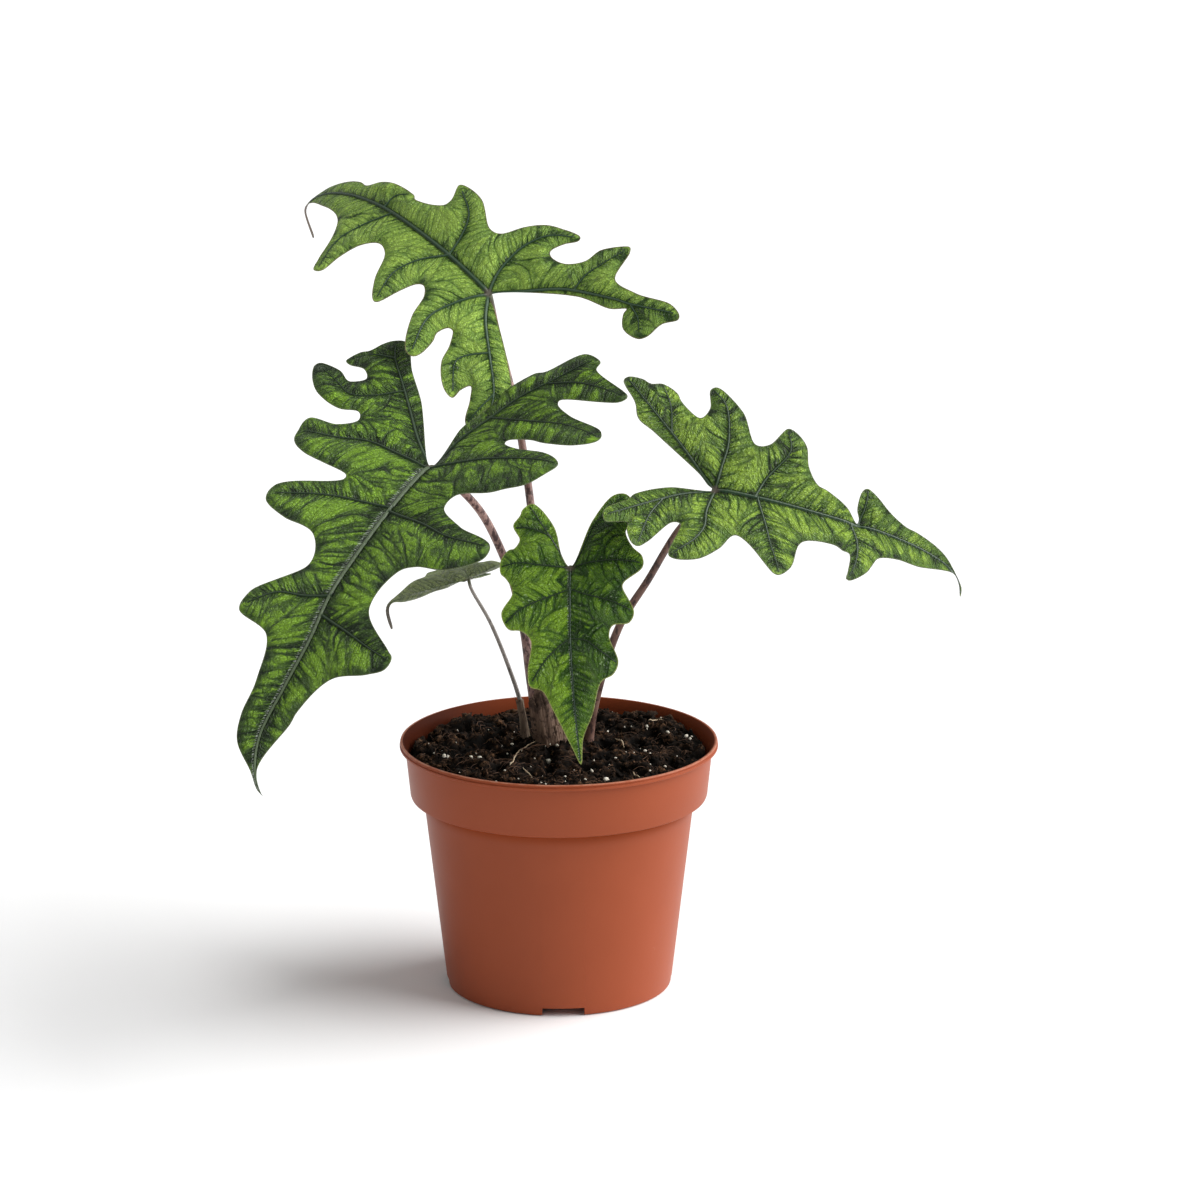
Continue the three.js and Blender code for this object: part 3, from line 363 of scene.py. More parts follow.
class Sketch:
    """A leaf drawn flat: its outline, ribs and the side veins that grow out of the ribs."""

    def __init__(self, leaf, seed, half_width):
        self.half_width = half_width
        self.random = np.random.default_rng(seed)
        self.loop = smooth_line(leaf["outline"], EDGE_STEP, closed=True)
        self.ribs = [smooth_line(line, RIB_STEP) for line in [leaf["midrib"], *leaf["veins"]]]
        self.edge = Lines([self.loop], closed=True)
        self.rib = Lines(self.ribs)
        self.midrib = Lines(self.ribs[:1])
        self.rib_sizes = np.array([self.rib_size(number) for number in range(len(self.ribs))])
        self.veins, self.taken = [], {}
        self.grow(self.rib_starts(), SIDE_REACH)
        first_fork = len(self.veins)
        for gap in INFILL_GAPS:
            self.grow(self.gap_starts(gap), INFILL_REACH)
        self.forks = [np.array(vein) for vein in self.veins[first_fork:] if len(vein) > 2]
        self.veins = [np.array(vein) for vein in self.veins[:first_fork] if len(vein) > 2]
        self.side, self.fork = Lines(self.veins), Lines(self.forks)
        self.rungs = self.cross_rungs()
        self.net = Lines(self.rungs)

    def rib_starts(self):
        """Places along both sides of every rib where a side vein sets off, and its first heading."""
        starts = []
        for line in self.ribs:
            run = run_along(line)
            for side in (1, -1):
                at = SIDE_SPACING * (0.7 + 0.3 * side)
                while at < run[-1] - 1:
                    i = int(np.searchsorted(run, at)) - 1
                    tangent = unit(line[i + 1] - line[i])
                    lean = math.radians(SIDE_LEAN + self.random.normal(0, 5)) * side
                    turn = np.array([[math.cos(lean), -math.sin(lean)], [math.sin(lean), math.cos(lean)]])
                    starts.append((line[i], turn @ tangent))
                    at += SIDE_SPACING * self.random.uniform(0.75, 1.25)
        return starts

    def rib_size(self, number):
        """Width of a rib beside the midrib's, by where it sets off: attachment, midrib or another rib."""
        start = self.ribs[number][0]
        if number == 0:
            return 1.0
        if math.dist(start, (0, 0)) < 3:
            return 0.72
        return 0.6 if self.midrib.near(start)[0][0] < 2 else 0.45

    def rib_half_width(self, number, share):
        """Half the width of a rib, which tapers to its end and is thinner where it is a branch."""
        return np.maximum(0.2, self.half_width * self.rib_sizes[number] * (1 - 0.6 * share))

    def rib_flanks(self):
        """Points along both flanks of the ribs, which give their edges and the ditch beside them."""
        spots, reach = [], []
        for number, line in enumerate(self.ribs):
            tangent = np.gradient(line, axis=0)
            across = np.column_stack([-tangent[:, 1], tangent[:, 0]])
            across /= np.linalg.norm(tangent, axis=1)[:, None]
            half = self.rib_half_width(number, np.linspace(0, 1, len(line)))
            for far in FLANKS:
                spots.append(line + across * (half * far)[:, None])
                reach.append(half * abs(far))
        spots, reach = np.concatenate(spots), np.concatenate(reach)
        clear = (self.rib.near(spots)[0] > 0.9 * reach) & (self.edge.near(spots)[0] > 0.35)
        return spots[clear & self.inside(spots)]

    def spread_points(self, step):
        """Points inside the outline, scattered about a step apart."""
        low, high = self.loop.min(0), self.loop.max(0)
        row_step = step * math.sqrt(3) / 2
        rows, columns = int((high[1] - low[1]) / row_step) + 1, int((high[0] - low[0]) / step) + 1
        spots = low + np.array([(step * (column + row % 2 / 2), row_step * row)
                                for row in range(rows) for column in range(columns)])
        spots = spots + self.random.normal(0, 0.12 * step, spots.shape)
        return spots[self.inside(spots)]

    def gap_starts(self, gap):
        """Forks from the veins that border a gap wider than this, headed onward and a little across."""
        drawn = Lines([*self.ribs, *(np.array(vein) for vein in self.veins if len(vein) > 2)])
        spots = self.spread_points(gap)
        away, foot, which = drawn.near(spots)
        wide = (away > gap) & (self.edge.near(spots)[0] > 1.2)
        onward = drawn.ends[which] - drawn.starts[which]
        onward /= np.linalg.norm(onward, axis=1)[:, None]
        across = (spots - foot) / away[:, None]
        starts = []
        for k in np.flatnonzero(wide)[np.argsort(-away[wide])]:
            if all(math.dist(foot[k], start) > 1.3 * gap for start, _ in starts):
                starts.append((foot[k], unit(0.45 * across[k] + onward[k])))
        return starts

    def grow(self, starts, reach):
        """Veins grow together a step at a time, bend to the margin and end in whatever they meet."""
        tips = []
        for start, heading in starts:
            tips.append((len(self.veins), heading))
            self.veins.append([np.array(start, float)])
        for step in range(int(reach / VEIN_STEP)):
            if not tips:
                break
            heads = np.array([self.veins[number][-1] for number, _ in tips])
            to_edge, edge_spot, _ = self.edge.near(heads)
            to_rib, rib_spot, _ = self.rib.near(heads)
            going = []
            for k, (number, heading) in enumerate(tips):
                vein, head = self.veins[number], heads[k]
                if step > 2 and to_rib[k] < RIB_STOP:
                    vein[-1] = rib_spot[k]
                    continue
                if to_edge[k] < MARGIN_STOP:
                    continue
                pull = (edge_spot[k] - head) / to_edge[k]
                heading = heading + EDGE_PULL * pull * smoothstep(step * VEIN_STEP, 0, 8)
                heading = unit(heading + self.random.normal(0, VEIN_WANDER, 2))
                ahead = head + heading * VEIN_STEP
                others = [(math.dist(ahead, spot), spot) for owner, spot in around(self.taken, ahead)
                          if owner != number]
                away, meeting = min(others, default=(math.inf, None), key=lambda other: other[0])
                if step > 1 and away < MEETING_REACH:
                    vein.append(meeting)
                    continue
                vein.append(ahead)
                self.taken.setdefault(cell_of(ahead), []).append((number, ahead))
                going.append((number, heading))
            tips = going

    def cross_rungs(self):
        """Short crooked cross veins that join two neighbours and close the net."""
        drawn = Lines([*self.ribs, *self.veins, *self.forks])
        spots = self.spread_points(RUNG_SPACING)
        away, foot, _ = drawn.near(spots)
        keep = (away > 0.45) & (self.edge.near(spots)[0] > 0.8)
        spots, away, foot = spots[keep], away[keep], foot[keep]
        across = (spots - foot) / away[:, None]
        far = np.full_like(spots, np.nan)
        for reach in np.arange(0.3, 3.0, 0.3):
            beyond = spots + across * reach
            near, meet, _ = drawn.near(beyond)
            hit = (near < 0.4) & np.isnan(far[:, 0])
            far[hit] = meet[hit]
        rungs, taken = [], {}
        for a, middle, b in zip(foot, spots, far):
            close = any(math.dist(middle, spot) < 0.8 * RUNG_SPACING for spot in around(taken, middle))
            if not close and not np.isnan(b[0]):
                taken.setdefault(cell_of(middle), []).append(middle)
                rungs.append(np.array([a, middle + self.random.normal(0, 0.12, 2), b]))
        return rungs

    def triangles(self):
        """Flat triangles that follow the outline, the ribs and the side veins."""
        points, edges = list(self.loop), []
        for line in [*self.ribs, *self.veins, *self.forks, *self.rungs]:
            first = len(points)
            points.extend(line)
            edges.extend((first + i, first + i + 1) for i in range(len(line) - 1))
        points.extend(self.rib_flanks())
        spots = search_tree(points)
        points.extend(spot for spot in self.spread_points(FILL_STEP)
                      if spots.find((*spot, 0))[2] > 0.56 * FILL_STEP)
        flat, _, faces, _, _, _ = geometry.delaunay_2d_cdt(
            [Vector(p) for p in points], edges, [list(range(len(self.loop)))], 0, 1e-5, False)
        flat, faces = np.array(flat), np.array(faces)
        faces = faces[self.inside(flat[faces].mean(1))]
        used, faces = np.unique(faces, return_inverse=True)
        return flat[used], faces.reshape(-1, 3)

    def inside(self, points):
        x, y = points[:, 0], points[:, 1]
        crossed = np.zeros(len(points), int)
        for (ax, ay), (bx, by) in zip(self.loop, np.roll(self.loop, -1, 0)):
            if ay != by:
                crossed += ((ay > y) != (by > y)) & (x < (bx - ax) * (y - ay) / (by - ay) + ax)
        return crossed % 2 == 1


def blade_axes(leaf):
    """Axes at the attachment: across the blade, along the midrib and out of the upper face."""
    heading, pitch, roll = (math.radians(leaf[key]) for key in ("heading", "pitch", "roll"))
    ahead = np.array([math.cos(heading), math.sin(heading), 0])
    along = math.cos(pitch) * ahead + (0, 0, math.sin(pitch))
    level = np.array([math.sin(heading), -math.cos(heading), 0])
    across = math.cos(roll) * level + math.sin(roll) * np.cross(level, along)
    return across, along, np.cross(across, along)


def blade_place(leaf, flat, height):
    """Carries flat points with a height over the midrib into their place on the plant."""
    across, along, out = blade_axes(leaf)
    length = leaf["length"]

    def slope_at(s):
        hooked = smoothstep(s, length, length + leaf["hook_span"])
        droops = -math.radians(leaf["droop"]) * s / length - math.radians(leaf["hook"]) * hooked
        return np.where(s < 0, math.radians(leaf["lift"]) * s / (0.6 * length), droops)

    marks = np.arange(-BACK_REACH, math.ceil(length) + DRIP_REACH + 1)
    middle = slope_at(marks[:-1] + 0.5)
    reach = np.concatenate([[0], np.cumsum(np.cos(middle))])
    rise = np.concatenate([[0], np.cumsum(np.sin(middle))])
    reach, rise = reach - reach[BACK_REACH], rise - rise[BACK_REACH]
    x, y = flat[:, 0], flat[:, 1]
    slope = np.interp(y, marks, slope_at(marks))
    turn = np.radians(np.where(y > 0, leaf["twist"] * y / length, -leaf["back_twist"] * y / (0.6 * length)))
    side = x * np.cos(turn) - height * np.sin(turn)
    over = x * np.sin(turn) + height * np.cos(turn)
    return (np.array(leaf["attach"]) + side[:, None] * across
            + (np.interp(y, marks, reach) - over * np.sin(slope))[:, None] * along
            + (np.interp(y, marks, rise) + over * np.cos(slope))[:, None] * out)


def new_piece(name, points, faces, material, numbers=(), maps=()):
    """A mesh piece from points in millimetres, with numbers stored per point and flat maps per corner."""
    mesh = bpy.data.meshes.new(name)
    mesh.from_pydata((np.asarray(points) * MM).tolist(), [], [list(map(int, face)) for face in faces])
    for key, values in dict(numbers).items():
        mesh.attributes.new(key, "FLOAT", "POINT").data.foreach_set("value", np.asarray(values, np.float32))
    corners = np.zeros(len(mesh.loops), int)
    mesh.loops.foreach_get("vertex_index", corners)
    for key, values in dict(maps).items():
        mesh.uv_layers.new(name=key).data.foreach_set("uv", np.asarray(values, np.float32)[corners].ravel())
    mesh.materials.append(material)
    piece = bpy.data.objects.new(name, mesh)
    bpy.context.scene.collection.objects.link(piece)
    return piece


def make_active(piece):
    bpy.ops.object.select_all(action="DESELECT")
    piece.select_set(True)
    bpy.context.view_layer.objects.active = piece


def finish_piece(piece, slot, *nodes, angle=None):
    """Shades a piece smooth, up to an angle if one is given, and lets it stand for its CAD nodes."""
    make_active(piece)
    if angle is None:
        bpy.ops.object.shade_smooth()
    else:
        bpy.ops.object.shade_smooth_by_angle(angle=math.radians(angle))
    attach(piece, "root")
    if nodes:
        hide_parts(*nodes)


def soften(values, faces):
    """Each point's value averaged with those of the points it shares faces with."""
    total, count = values.copy(), np.ones(len(values))
    for a, b in ((0, 1), (1, 2), (2, 0)):
        for start, end in ((a, b), (b, a)):
            np.add.at(total, faces[:, start], values[faces[:, end]])
            np.add.at(count, faces[:, start], 1)
    return total / count


def flow_grain(flat, faces, flow, random):
    """Random tones drawn out into fine streaks along the side veins, from about -2 to 2."""
    pairs = np.unique(np.sort(np.vstack([faces[:, :2], faces[:, 1:], faces[:, ::2]]), axis=1), axis=0)
    start, end = np.vstack([pairs, pairs[:, ::-1]]).T
    step = flat[end] - flat[start]
    ahead = (step * flow[start]).sum(1) / (np.linalg.norm(step, axis=1) + 1e-9)
    order = np.lexsort((ahead, start))
    last = np.searchsorted(start[order], np.arange(len(flat)), side="right") - 1
    first = np.searchsorted(start[order], np.arange(len(flat)))
    grain = random.normal(0, 1, len(flat))
    total = grain.copy()
    for best in (end[order][last], end[order][first]):
        at = np.arange(len(flat))
        for reach in range(1, GRAIN_REACH):
            at = best[at]
            total += grain[at] * math.cos(0.5 * math.pi * reach / GRAIN_REACH)
    return (total - total.mean()) / total.std()


def add_blade(name, seed, material, slot):
    """A blade from its sketch: an upper and a lower sheet, and a rim between them."""
    leaf = LEAVES[name]
    sketch = Sketch(leaf, seed, MIDRIB_HALF_WIDTH[name])
    flat, faces = sketch.triangles()
    count = len(flat)
    x, y = flat[:, 0], flat[:, 1]
    to_rib, foot, stretch = sketch.rib.near(flat)
    to_side, _, vein = sketch.side.near(flat)
    to_fork, to_midrib, to_net, to_edge = (lines.near(flat)[0] for lines in
                                           (sketch.fork, sketch.midrib, sketch.net, sketch.edge))
    to_side = np.minimum(to_side, to_fork + FORK_FAINTNESS)
    rib, run = sketch.rib.owner[stretch], sketch.rib.along[stretch]
    lengths = np.array([run_along(line)[-1] for line in sketch.ribs])
    half_width = sketch.rib_half_width(rib, run / lengths[rib])
    across = to_rib / half_width
    tone = sketch.random.uniform(0, 1, len(sketch.veins))[sketch.side.owner[vein]]
    for _ in range(TONE_ROUNDS):
        tone = soften(tone, faces)
    tone = np.clip(0.5 + 0.9 * (tone - tone.mean()), 0, 1)
    flow = sketch.side.ends[vein] - sketch.side.starts[vein]
    flow /= np.linalg.norm(flow, axis=1)[:, None] + 1e-9
    grain = flow_grain(flat, faces, flow, sketch.random)
    tip = np.maximum(smoothstep(y, leaf["length"], leaf["length"] + 6),
                     0.8 - 0.8 * smoothstep(np.hypot(x, y), 0.8, 2.4))

    inner = smoothstep(to_edge, 0, 2.5)
    height = leaf["fold"] * (np.hypot(x, FOLD_WIDTH) - FOLD_WIDTH) - leaf["cup"] * x * x / leaf["length"]
    height += QUILT_HEIGHT * (1 - bell(to_rib, QUILT_WIDTH)) - MARGIN_CURL * bell(to_edge, MARGIN_WIDTH)
    sway = wobble([(a / SWAY_LENGTH, b / SWAY_LENGTH, seed) for a, b in flat])
    height += SWAY_HEIGHT * sway * smoothstep(to_rib, 0, 8)
    puffed = PUCKER_HEIGHT * (1 - bell(to_side, PUCKER_WIDTH)) * (1 - 0.06 * bell(to_net, 0.5))
    puffed = (puffed + GRAIN_HEIGHT * grain) * inner * smoothstep(to_rib, 0.2, 3.5)
    crest = RIB_CREST * np.clip(1 - across ** 2, 0, 1) - RIB_DITCH * bell(across - 1.5, 0.7)
    crest *= half_width * smoothstep(to_edge, 0, 2)
    keel = np.maximum(MIDRIB_DEPTH * bell(to_midrib, 0.9), RIB_DEPTH * bell(to_rib, 0.7))
    keel *= np.clip(1 - y / leaf["length"], 0, 1) * np.minimum(1, to_edge / MARGIN_WIDTH)
    keel += VEIN_KEEL * bell(to_side, 0.4) * inner
    thick = MARGIN_THICKNESS + (BLADE_THICKNESS - MARGIN_THICKNESS) * smoothstep(to_edge, 0, 2)
    upper = blade_place(leaf, flat, height + thick / 2 + puffed + crest)
    lower = blade_place(leaf, flat, height - thick / 2 + 0.8 * puffed - keel)

    edges = dict.fromkeys(pair for a, b, c in faces.tolist() for pair in ((a, b), (b, c), (c, a)))
    sheet = [*faces.tolist(), *(faces[:, ::-1] + count).tolist()]
    sheet += [(b, a, count + a, count + b) for a, b in edges if (b, a) not in edges]
    numbers = {"to_rib": to_rib, "to_side": to_side, "to_net": to_net, "to_edge": to_edge, "tone": tone,
               "across_rib": across, "on_midrib": rib == 0, "lit_flank": (rib == 0) & (x > foot[:, 0]),
               "grain": grain, "tip": tip}
    numbers = {key: np.tile(values, 2) for key, values in numbers.items()}
    numbers["under"] = np.repeat((0, 1), count)
    teeth = (run - to_rib / math.tan(math.radians(SIDE_LEAN))) / TOOTH_SPACING
    maps = {"flat": np.tile(flat / 10, (2, 1)), "comb": np.tile(np.column_stack([teeth, to_rib]), (2, 1))}
    piece = new_piece(f"blade_{name}_fine", np.vstack([upper, lower]), sheet, material, numbers, maps)
    finish_piece(piece, slot, f"blade_{name}", angle=55)


def linear(colour, share=1.0):
    """Light values, as Blender shades with, of a share of a colour given as seen on a screen, 0 to 255."""
    seen = (part / 255 for part in colour)
    return (*(share * (v / 12.92 if v <= 0.04045 else ((v + 0.055) / 1.055) ** 2.4) for v in seen), 1.0)


class Finish:
    """A procedural material built up node by node. Colours are three parts as seen on a screen, 0 to 255."""

    def __init__(self, name, **surface):
        self.material = bpy.data.materials.new(name)
        self.material.use_nodes = True
        self.tree = self.material.node_tree
        self.surface = self.tree.nodes["Principled BSDF"]
        for key, value in surface.items():
            self.surface.inputs[key.replace("_", " ")].default_value = value
        self.place = self.node("ShaderNodeTexCoord").outputs["Object"]

    def node(self, kind, inputs=(), **settings):
        made = self.tree.nodes.new(kind)
        for key, value in settings.items():
            setattr(made, key, value)
        for key, value in dict(inputs).items():
            self.put(made.inputs[key], value)
        return made

    def put(self, socket, value):
        if isinstance(value, bpy.types.NodeSocket):
            self.tree.links.new(value, socket)
        else:
            socket.default_value = value

    def set(self, key, value):
        self.put(self.surface.inputs[key], value)

    def number(self, name):
        return self.node("ShaderNodeAttribute", attribute_name=name).outputs["Fac"]

    def spread_map(self, name):
        return self.node("ShaderNodeUVMap", uv_map=name).outputs["UV"]

    def split(self, place):
        return self.node("ShaderNodeSeparateXYZ", {"Vector": place}).outputs

    def work_out(self, operation, *values):
        return self.node("ShaderNodeMath", enumerate(values), operation=operation).outputs[0]

    def times(self, total, *others):
        for other in others:
            total = self.work_out("MULTIPLY", total, other)
        return total

    def plus(self, total, *others):
        for other in others:
            total = self.work_out("ADD", total, other)
        return total

    def between(self, value, low, high, start=0.0, end=1.0):
        """Eases from start to end while the value goes from low to high."""
        values = enumerate((value, low, high, start, end))
        return self.node("ShaderNodeMapRange", values, interpolation_type="SMOOTHSTEP").outputs[0]

    def noise(self, scale, detail, roughness, place=None):
        values = {"Vector": place or self.place, "Scale": scale, "Detail": detail, "Roughness": roughness}
        return self.node("ShaderNodeTexNoise", values).outputs["Fac"]

    def stretch(self, scale, place):
        return self.node("ShaderNodeMapping", {"Vector": place, "Scale": scale}).outputs["Vector"]

    def wander(self, place, scale, reach):
        """Moves the places of a flat map about by slow noise."""
        ripple = self.node("ShaderNodeTexNoise", {"Vector": place, "Scale": scale}).outputs["Color"]
        values = enumerate((ripple, (reach, reach, 0), place))
        return self.node("ShaderNodeVectorMath", values, operation="MULTIPLY_ADD").outputs["Vector"]

    def creases(self, place):
        """How far a place is from the nearest edge between irregular cells."""
        return self.node("ShaderNodeTexVoronoi", {"Vector": place, "Scale": 1.0},
                         feature="DISTANCE_TO_EDGE").outputs["Distance"]

    def layers(self, colour, *layers):
        """A colour with others laid over it in turn, each with its share."""
        for share, other in layers:
            a, b = (linear(part) if isinstance(part, tuple) and len(part) == 3 else part
                    for part in (colour, other))
            made = self.node("ShaderNodeMix", data_type="RGBA")
            for key, value in (("Factor", share), ("A", a), ("B", b)):
                self.put(made.inputs[key], value)
            colour = made.outputs["Result"]
        return colour

    def bump(self, height, strength, reach):
        values = {"Strength": strength, "Distance": reach, "Height": height}
        self.set("Normal", self.node("ShaderNodeBump", values).outputs["Normal"])


def blade_finish(name, bay, green, dark, rib, midrib, zone=4.0, patchy=0.3, painted_glints=0.3, roughness=0.31,
                 margin=(92, 102, 62), edge_shade=0.45, tip_light=0.0, flank_shade=0.0, painted_ticks=0.0,
                 back=(112, 128, 98)):
    """Green that is light in the bays and darkens in teeth towards the ribs and along the side veins."""
    made = Finish(name, Roughness=roughness, Specular_IOR_Level=0.27)
    between, times, plus = made.between, made.times, made.plus
    flat, comb = made.spread_map("flat"), made.spread_map("comb")
    x, y, _ = made.split(flat)
    lane = made.split(comb)["X"]
    to_rib, to_side, to_net, to_edge, across, tone, grain, under = (made.number(key) for key in (
        "to_rib", "to_side", "to_net", "to_edge", "across_rib", "tone", "grain", "under"))
    fine = made.noise(14, 3, 0.6, flat)
    crinkle = made.noise(2.3, 4, 0.68, comb)
    pucker = made.creases(made.stretch((1.25, 0.62, 1), made.wander(comb, 0.9, 1.2)))

    spread = plus(to_rib, times(fine, 0.8 * zone), times(tone, -0.85 * zone), 0.2)
    tooth = between(made.work_out("PINGPONG", plus(times(fine, 0.6), lane), 0.5), 0.03, 0.4, 1, 0.3)
    near = times(tooth, between(spread, 0.2 * zone, 1.6 * zone, 0.95, 0), between(to_edge, 1, 5, 0.55, 1))
    line = times(between(tone, 0.25, 0.85, 0.2, 0.7), between(to_side, 0, 0.9, 1, 0),
                 between(to_edge, 0.2, 5, 0.2, 1))
    patch = between(plus(times(tone, 0.3), made.noise(0.42, 2, 0.5, flat)), 0.45, 0.85, 0, patchy)
    bright = 1.0
    for shade in (near, line, patch, between(to_edge, 0.6, 5, edge_shade, 0)):
        bright = times(bright, made.work_out("SUBTRACT", 1, shade))
    # The last term is painted shade: flank_shade darkens the half of the blade on the negative x side.
    bright = plus(bright, times(grain, 0.24), between(y, 4.6, 7, 0, tip_light),
                  between(x, -0.2, 0.1, -flank_shade, 0))
    # Painted glints: pale flecks on the puckers that stand in for highlights, most near the ribs and fewest
    # at the margin.
    glint = times(between(pucker, 0.16, 0.34), between(made.noise(1.1, 2, 0.5, comb), 0.5, 0.66, 0, painted_glints),
                  between(to_rib, 2, 8, 1, 0.4), between(to_edge, 1, 5, 0.3, 1))
    # Painted highlights: pale ticks in a row along the lit flank of the midrib.
    painted_tick = times(between(made.work_out("PINGPONG", times(lane, 1.3), 0.5), 0.2, 0.38),
                 between(across, 1.1, 1.3, 0, painted_ticks), between(across, 2.2, 3, 1, 0),
                 between(fine, 0.4, 0.52, 0.3, 1), made.number("lit_flank"))
    # Ribs, the midrib in its own colour, with a painted highlight: a pale line along each rib's middle.
    stem = made.layers(rib, (made.number("on_midrib"), midrib),
                       (between(across, 0, 0.5, 0.2, 0), (150, 160, 140)))
    top = made.layers(
        dark, (between(bright, 0, 0.45), green), (between(bright, 0.42, 1.05), bay),
        (between(pucker, 0, 0.16, 0.42, 0), dark), (glint, (186, 204, 170)),
        (between(crinkle, 0.35, 0.5, 0.22, 0), dark), (between(to_side, 0.02, 0.3, 0.22, 0), dark),
        (between(to_edge, 0.15, 0.5, 0.85, 0), margin),
        (between(across, 1, 2.1, 0.75, 0), linear(dark, 0.45)), (painted_tick, (206, 214, 204)),
        (between(across, 0.8, 1.1, 0.95, 0), stem))
    bottom = made.layers(
        back, (between(fine, 0.3, 0.7), linear(back, 1.45)),
        (between(pucker, 0, 0.16, 0.25, 0), (78, 92, 64)),
        (between(across, 0.8, 1.5, 0.75, 0), (88, 100, 78)),
        (between(to_side, 0.05, 0.5, 0.6, 0), (84, 100, 72)))
    made.set("Base Color", made.layers(top, (under, bottom), (times(made.number("tip"), 0.9), (98, 84, 78))))
    relief = plus(times(crinkle, 1.6), times(near, -1.2), between(pucker, 0, 0.3),
                  between(to_side, 0, 0.5, 0, 0.8), between(to_net, 0, 0.4, 0, 0.12))
    made.bump(times(relief, between(across, 0.9, 1.6)), 0.9, 0.46 * MM)
    return made.material


def pot_finish():
    """Brick-coloured plastic, scuffed, with a painted highlight along the rim's top edge and painted shade
    under the collar and inside.
    """
    made = Finish("pot_plastic", Roughness=0.45)
    between, inner = made.between, made.number("inner")
    x, _, z = made.split(made.place)
    # Painted shade under the collar: the slope below it and the body just beneath are darkened, and their
    # gloss is lowered.
    below = made.times(between(z, (SHOULDER_HEIGHT - 6) * MM, (SHOULDER_HEIGHT + 0.5) * MM),
                       between(z, (COLLAR_FOOT_HEIGHT - 0.6) * MM, (COLLAR_FOOT_HEIGHT - 0.2) * MM, 1, 0))
    # Painted highlight: a pale, speckled line along the rim's top edge.
    painted_rim_highlight = made.times(between(z, (POT_HEIGHT - 0.5) * MM, (POT_HEIGHT - 0.1) * MM, 0, 0.45),
                      between(made.noise(300, 3, 0.6), 0.35, 0.6, 0.4, 1))
    outside = made.layers(
        (145.4, 68.7, 38.7), (between(made.noise(24, 3, 0.6), 0.3, 0.7), (148.9, 71.0, 40.8)),
        (between(made.noise(210, 4, 0.7), 0.70, 0.78, 0, 0.35), (178.9, 123.6, 100.9)),
        (made.times(below, 0.3), (114.5, 48.4, 25.5)), (painted_rim_highlight, (203.4, 148.9, 123.6)))
    # Painted shade inside: the inner wall is far darker than the outside and darker still towards negative x,
    # with pale scuffs; its gloss is lowered too.
    inside = made.layers(
        (63.2, 25.5, 12.9), (between(x, -0.05, -0.01), (123.6, 58.5, 34.0)),
        (between(made.noise(380, 2, 0.5), 0.74, 0.79, 0, 0.4), (148.9, 111.3, 89.0)))
    made.set("Base Color", made.layers(outside, (inner, inside)))
    made.set("Specular IOR Level", between(made.work_out("MAXIMUM", inner, below), 0, 1, 0.2, 0.02))
    made.bump(made.noise(900, 2, 0.5), 0.06, 0.2 * MM)
    return made.material


def soil_finish():
    """Dark peat, with painted shade that makes it darkest where it lies low."""
    made = Finish("peat", Roughness=0.95, Specular_IOR_Level=0.12)
    made.set("Base Color", made.layers(
        (24, 15, 9), (made.between(made.noise(700, 5, 0.75), 0.43, 0.68), (120, 88, 64)),
        (made.between(made.noise(150, 3, 0.6), 0.42, 0.6, 0.8, 0), (20, 13, 9)),
        # Painted shade: the soil darkens to near black where its detail lies low; crumbs and clods get a
        # random tone through the same number.
        (made.between(made.number("raised"), -1.0, 0.9, 0.95, 0), (7, 5, 3))))
    made.bump(made.noise(900, 4, 0.7), 0.9, 0.5 * MM)
    return made.material


def plain_finish(name, colour, other, scale, roughness):
    made = Finish(name, Roughness=roughness)
    made.set("Base Color", made.layers(colour, (made.between(made.noise(scale, 4, 0.6), 0.35, 0.65), other)))
    return made.material


def stalk_finish(name, pale, dull, blotch, cover=0.5, foot=None):
    """Dull skin with long dark blotches, greyer at the neck and papery at the foot if it has a sheath."""
    made = Finish(name, Roughness=0.5)
    fleck = made.noise(620, 4, 0.65, made.stretch((1, 1, 0.45), made.place))
    share = made.number("share")
    layers = [(made.between(made.noise(120, 3, 0.6), 0.35, 0.65), dull),
              (made.between(fleck, cover, cover + 0.06, 0, 0.9), blotch)]
    if foot:
        layers.append((made.between(share, 0.16, 0.3, 0.85, 0), foot))
    made.set("Base Color", made.layers(pale, *layers, (made.between(share, 0.95, 0.985), (84, 86, 62))))
    made.bump(fleck, 0.2, 0.2 * MM)
    return made.material


def paper_finish(name, pale, dull, blotch):
    """Papery old sheath: lengthwise fibres with dark stains, more of them higher up."""
    made = Finish(name, Roughness=0.8, Specular_IOR_Level=0.3)
    fibre = made.noise(1100, 4, 0.7, made.stretch((1, 1, 0.12), made.place))
    aged = made.between(made.split(made.place)["Z"], 0.094, 0.112, -0.06, 0.1)
    stain = made.plus(made.noise(300, 4, 0.62), aged)
    made.set("Base Color", made.layers(dull, (made.between(fibre, 0.3, 0.7), pale),
                                       (made.between(stain, 0.52, 0.62, 0, 0.75), blotch)))
    made.bump(fibre, 0.5, 0.4 * MM)
    return made.material


def skin_faces(rings, sides):
    """Faces between rings of points, and one across each end."""
    at = np.arange(rings * sides).reshape(rings, sides)
    onward = np.roll(at, -1, axis=1)
    quads = np.stack([at[:-1], onward[:-1], onward[1:], at[1:]], axis=2).reshape(-1, 4)
    return [*quads.tolist(), at[0, ::-1].tolist(), at[-1].tolist()]


def tube(line, radii, sides, across=(1, 0.05, 0.02)):
    """Points and faces of a round tube along a line of points, closed at both ends."""
    angles = turns(sides)
    rings = []
    for i, (middle, radius) in enumerate(zip(line, radii)):
        tangent = unit(line[min(i + 1, len(line) - 1)] - line[max(i - 1, 0)])
        across = unit(across - tangent * (across @ tangent))
        ring = np.outer(np.cos(angles), across) + np.outer(np.sin(angles), np.cross(tangent, across))
        rings.append(middle + radius * ring)
    return np.concatenate(rings), skin_faces(len(rings), sides)


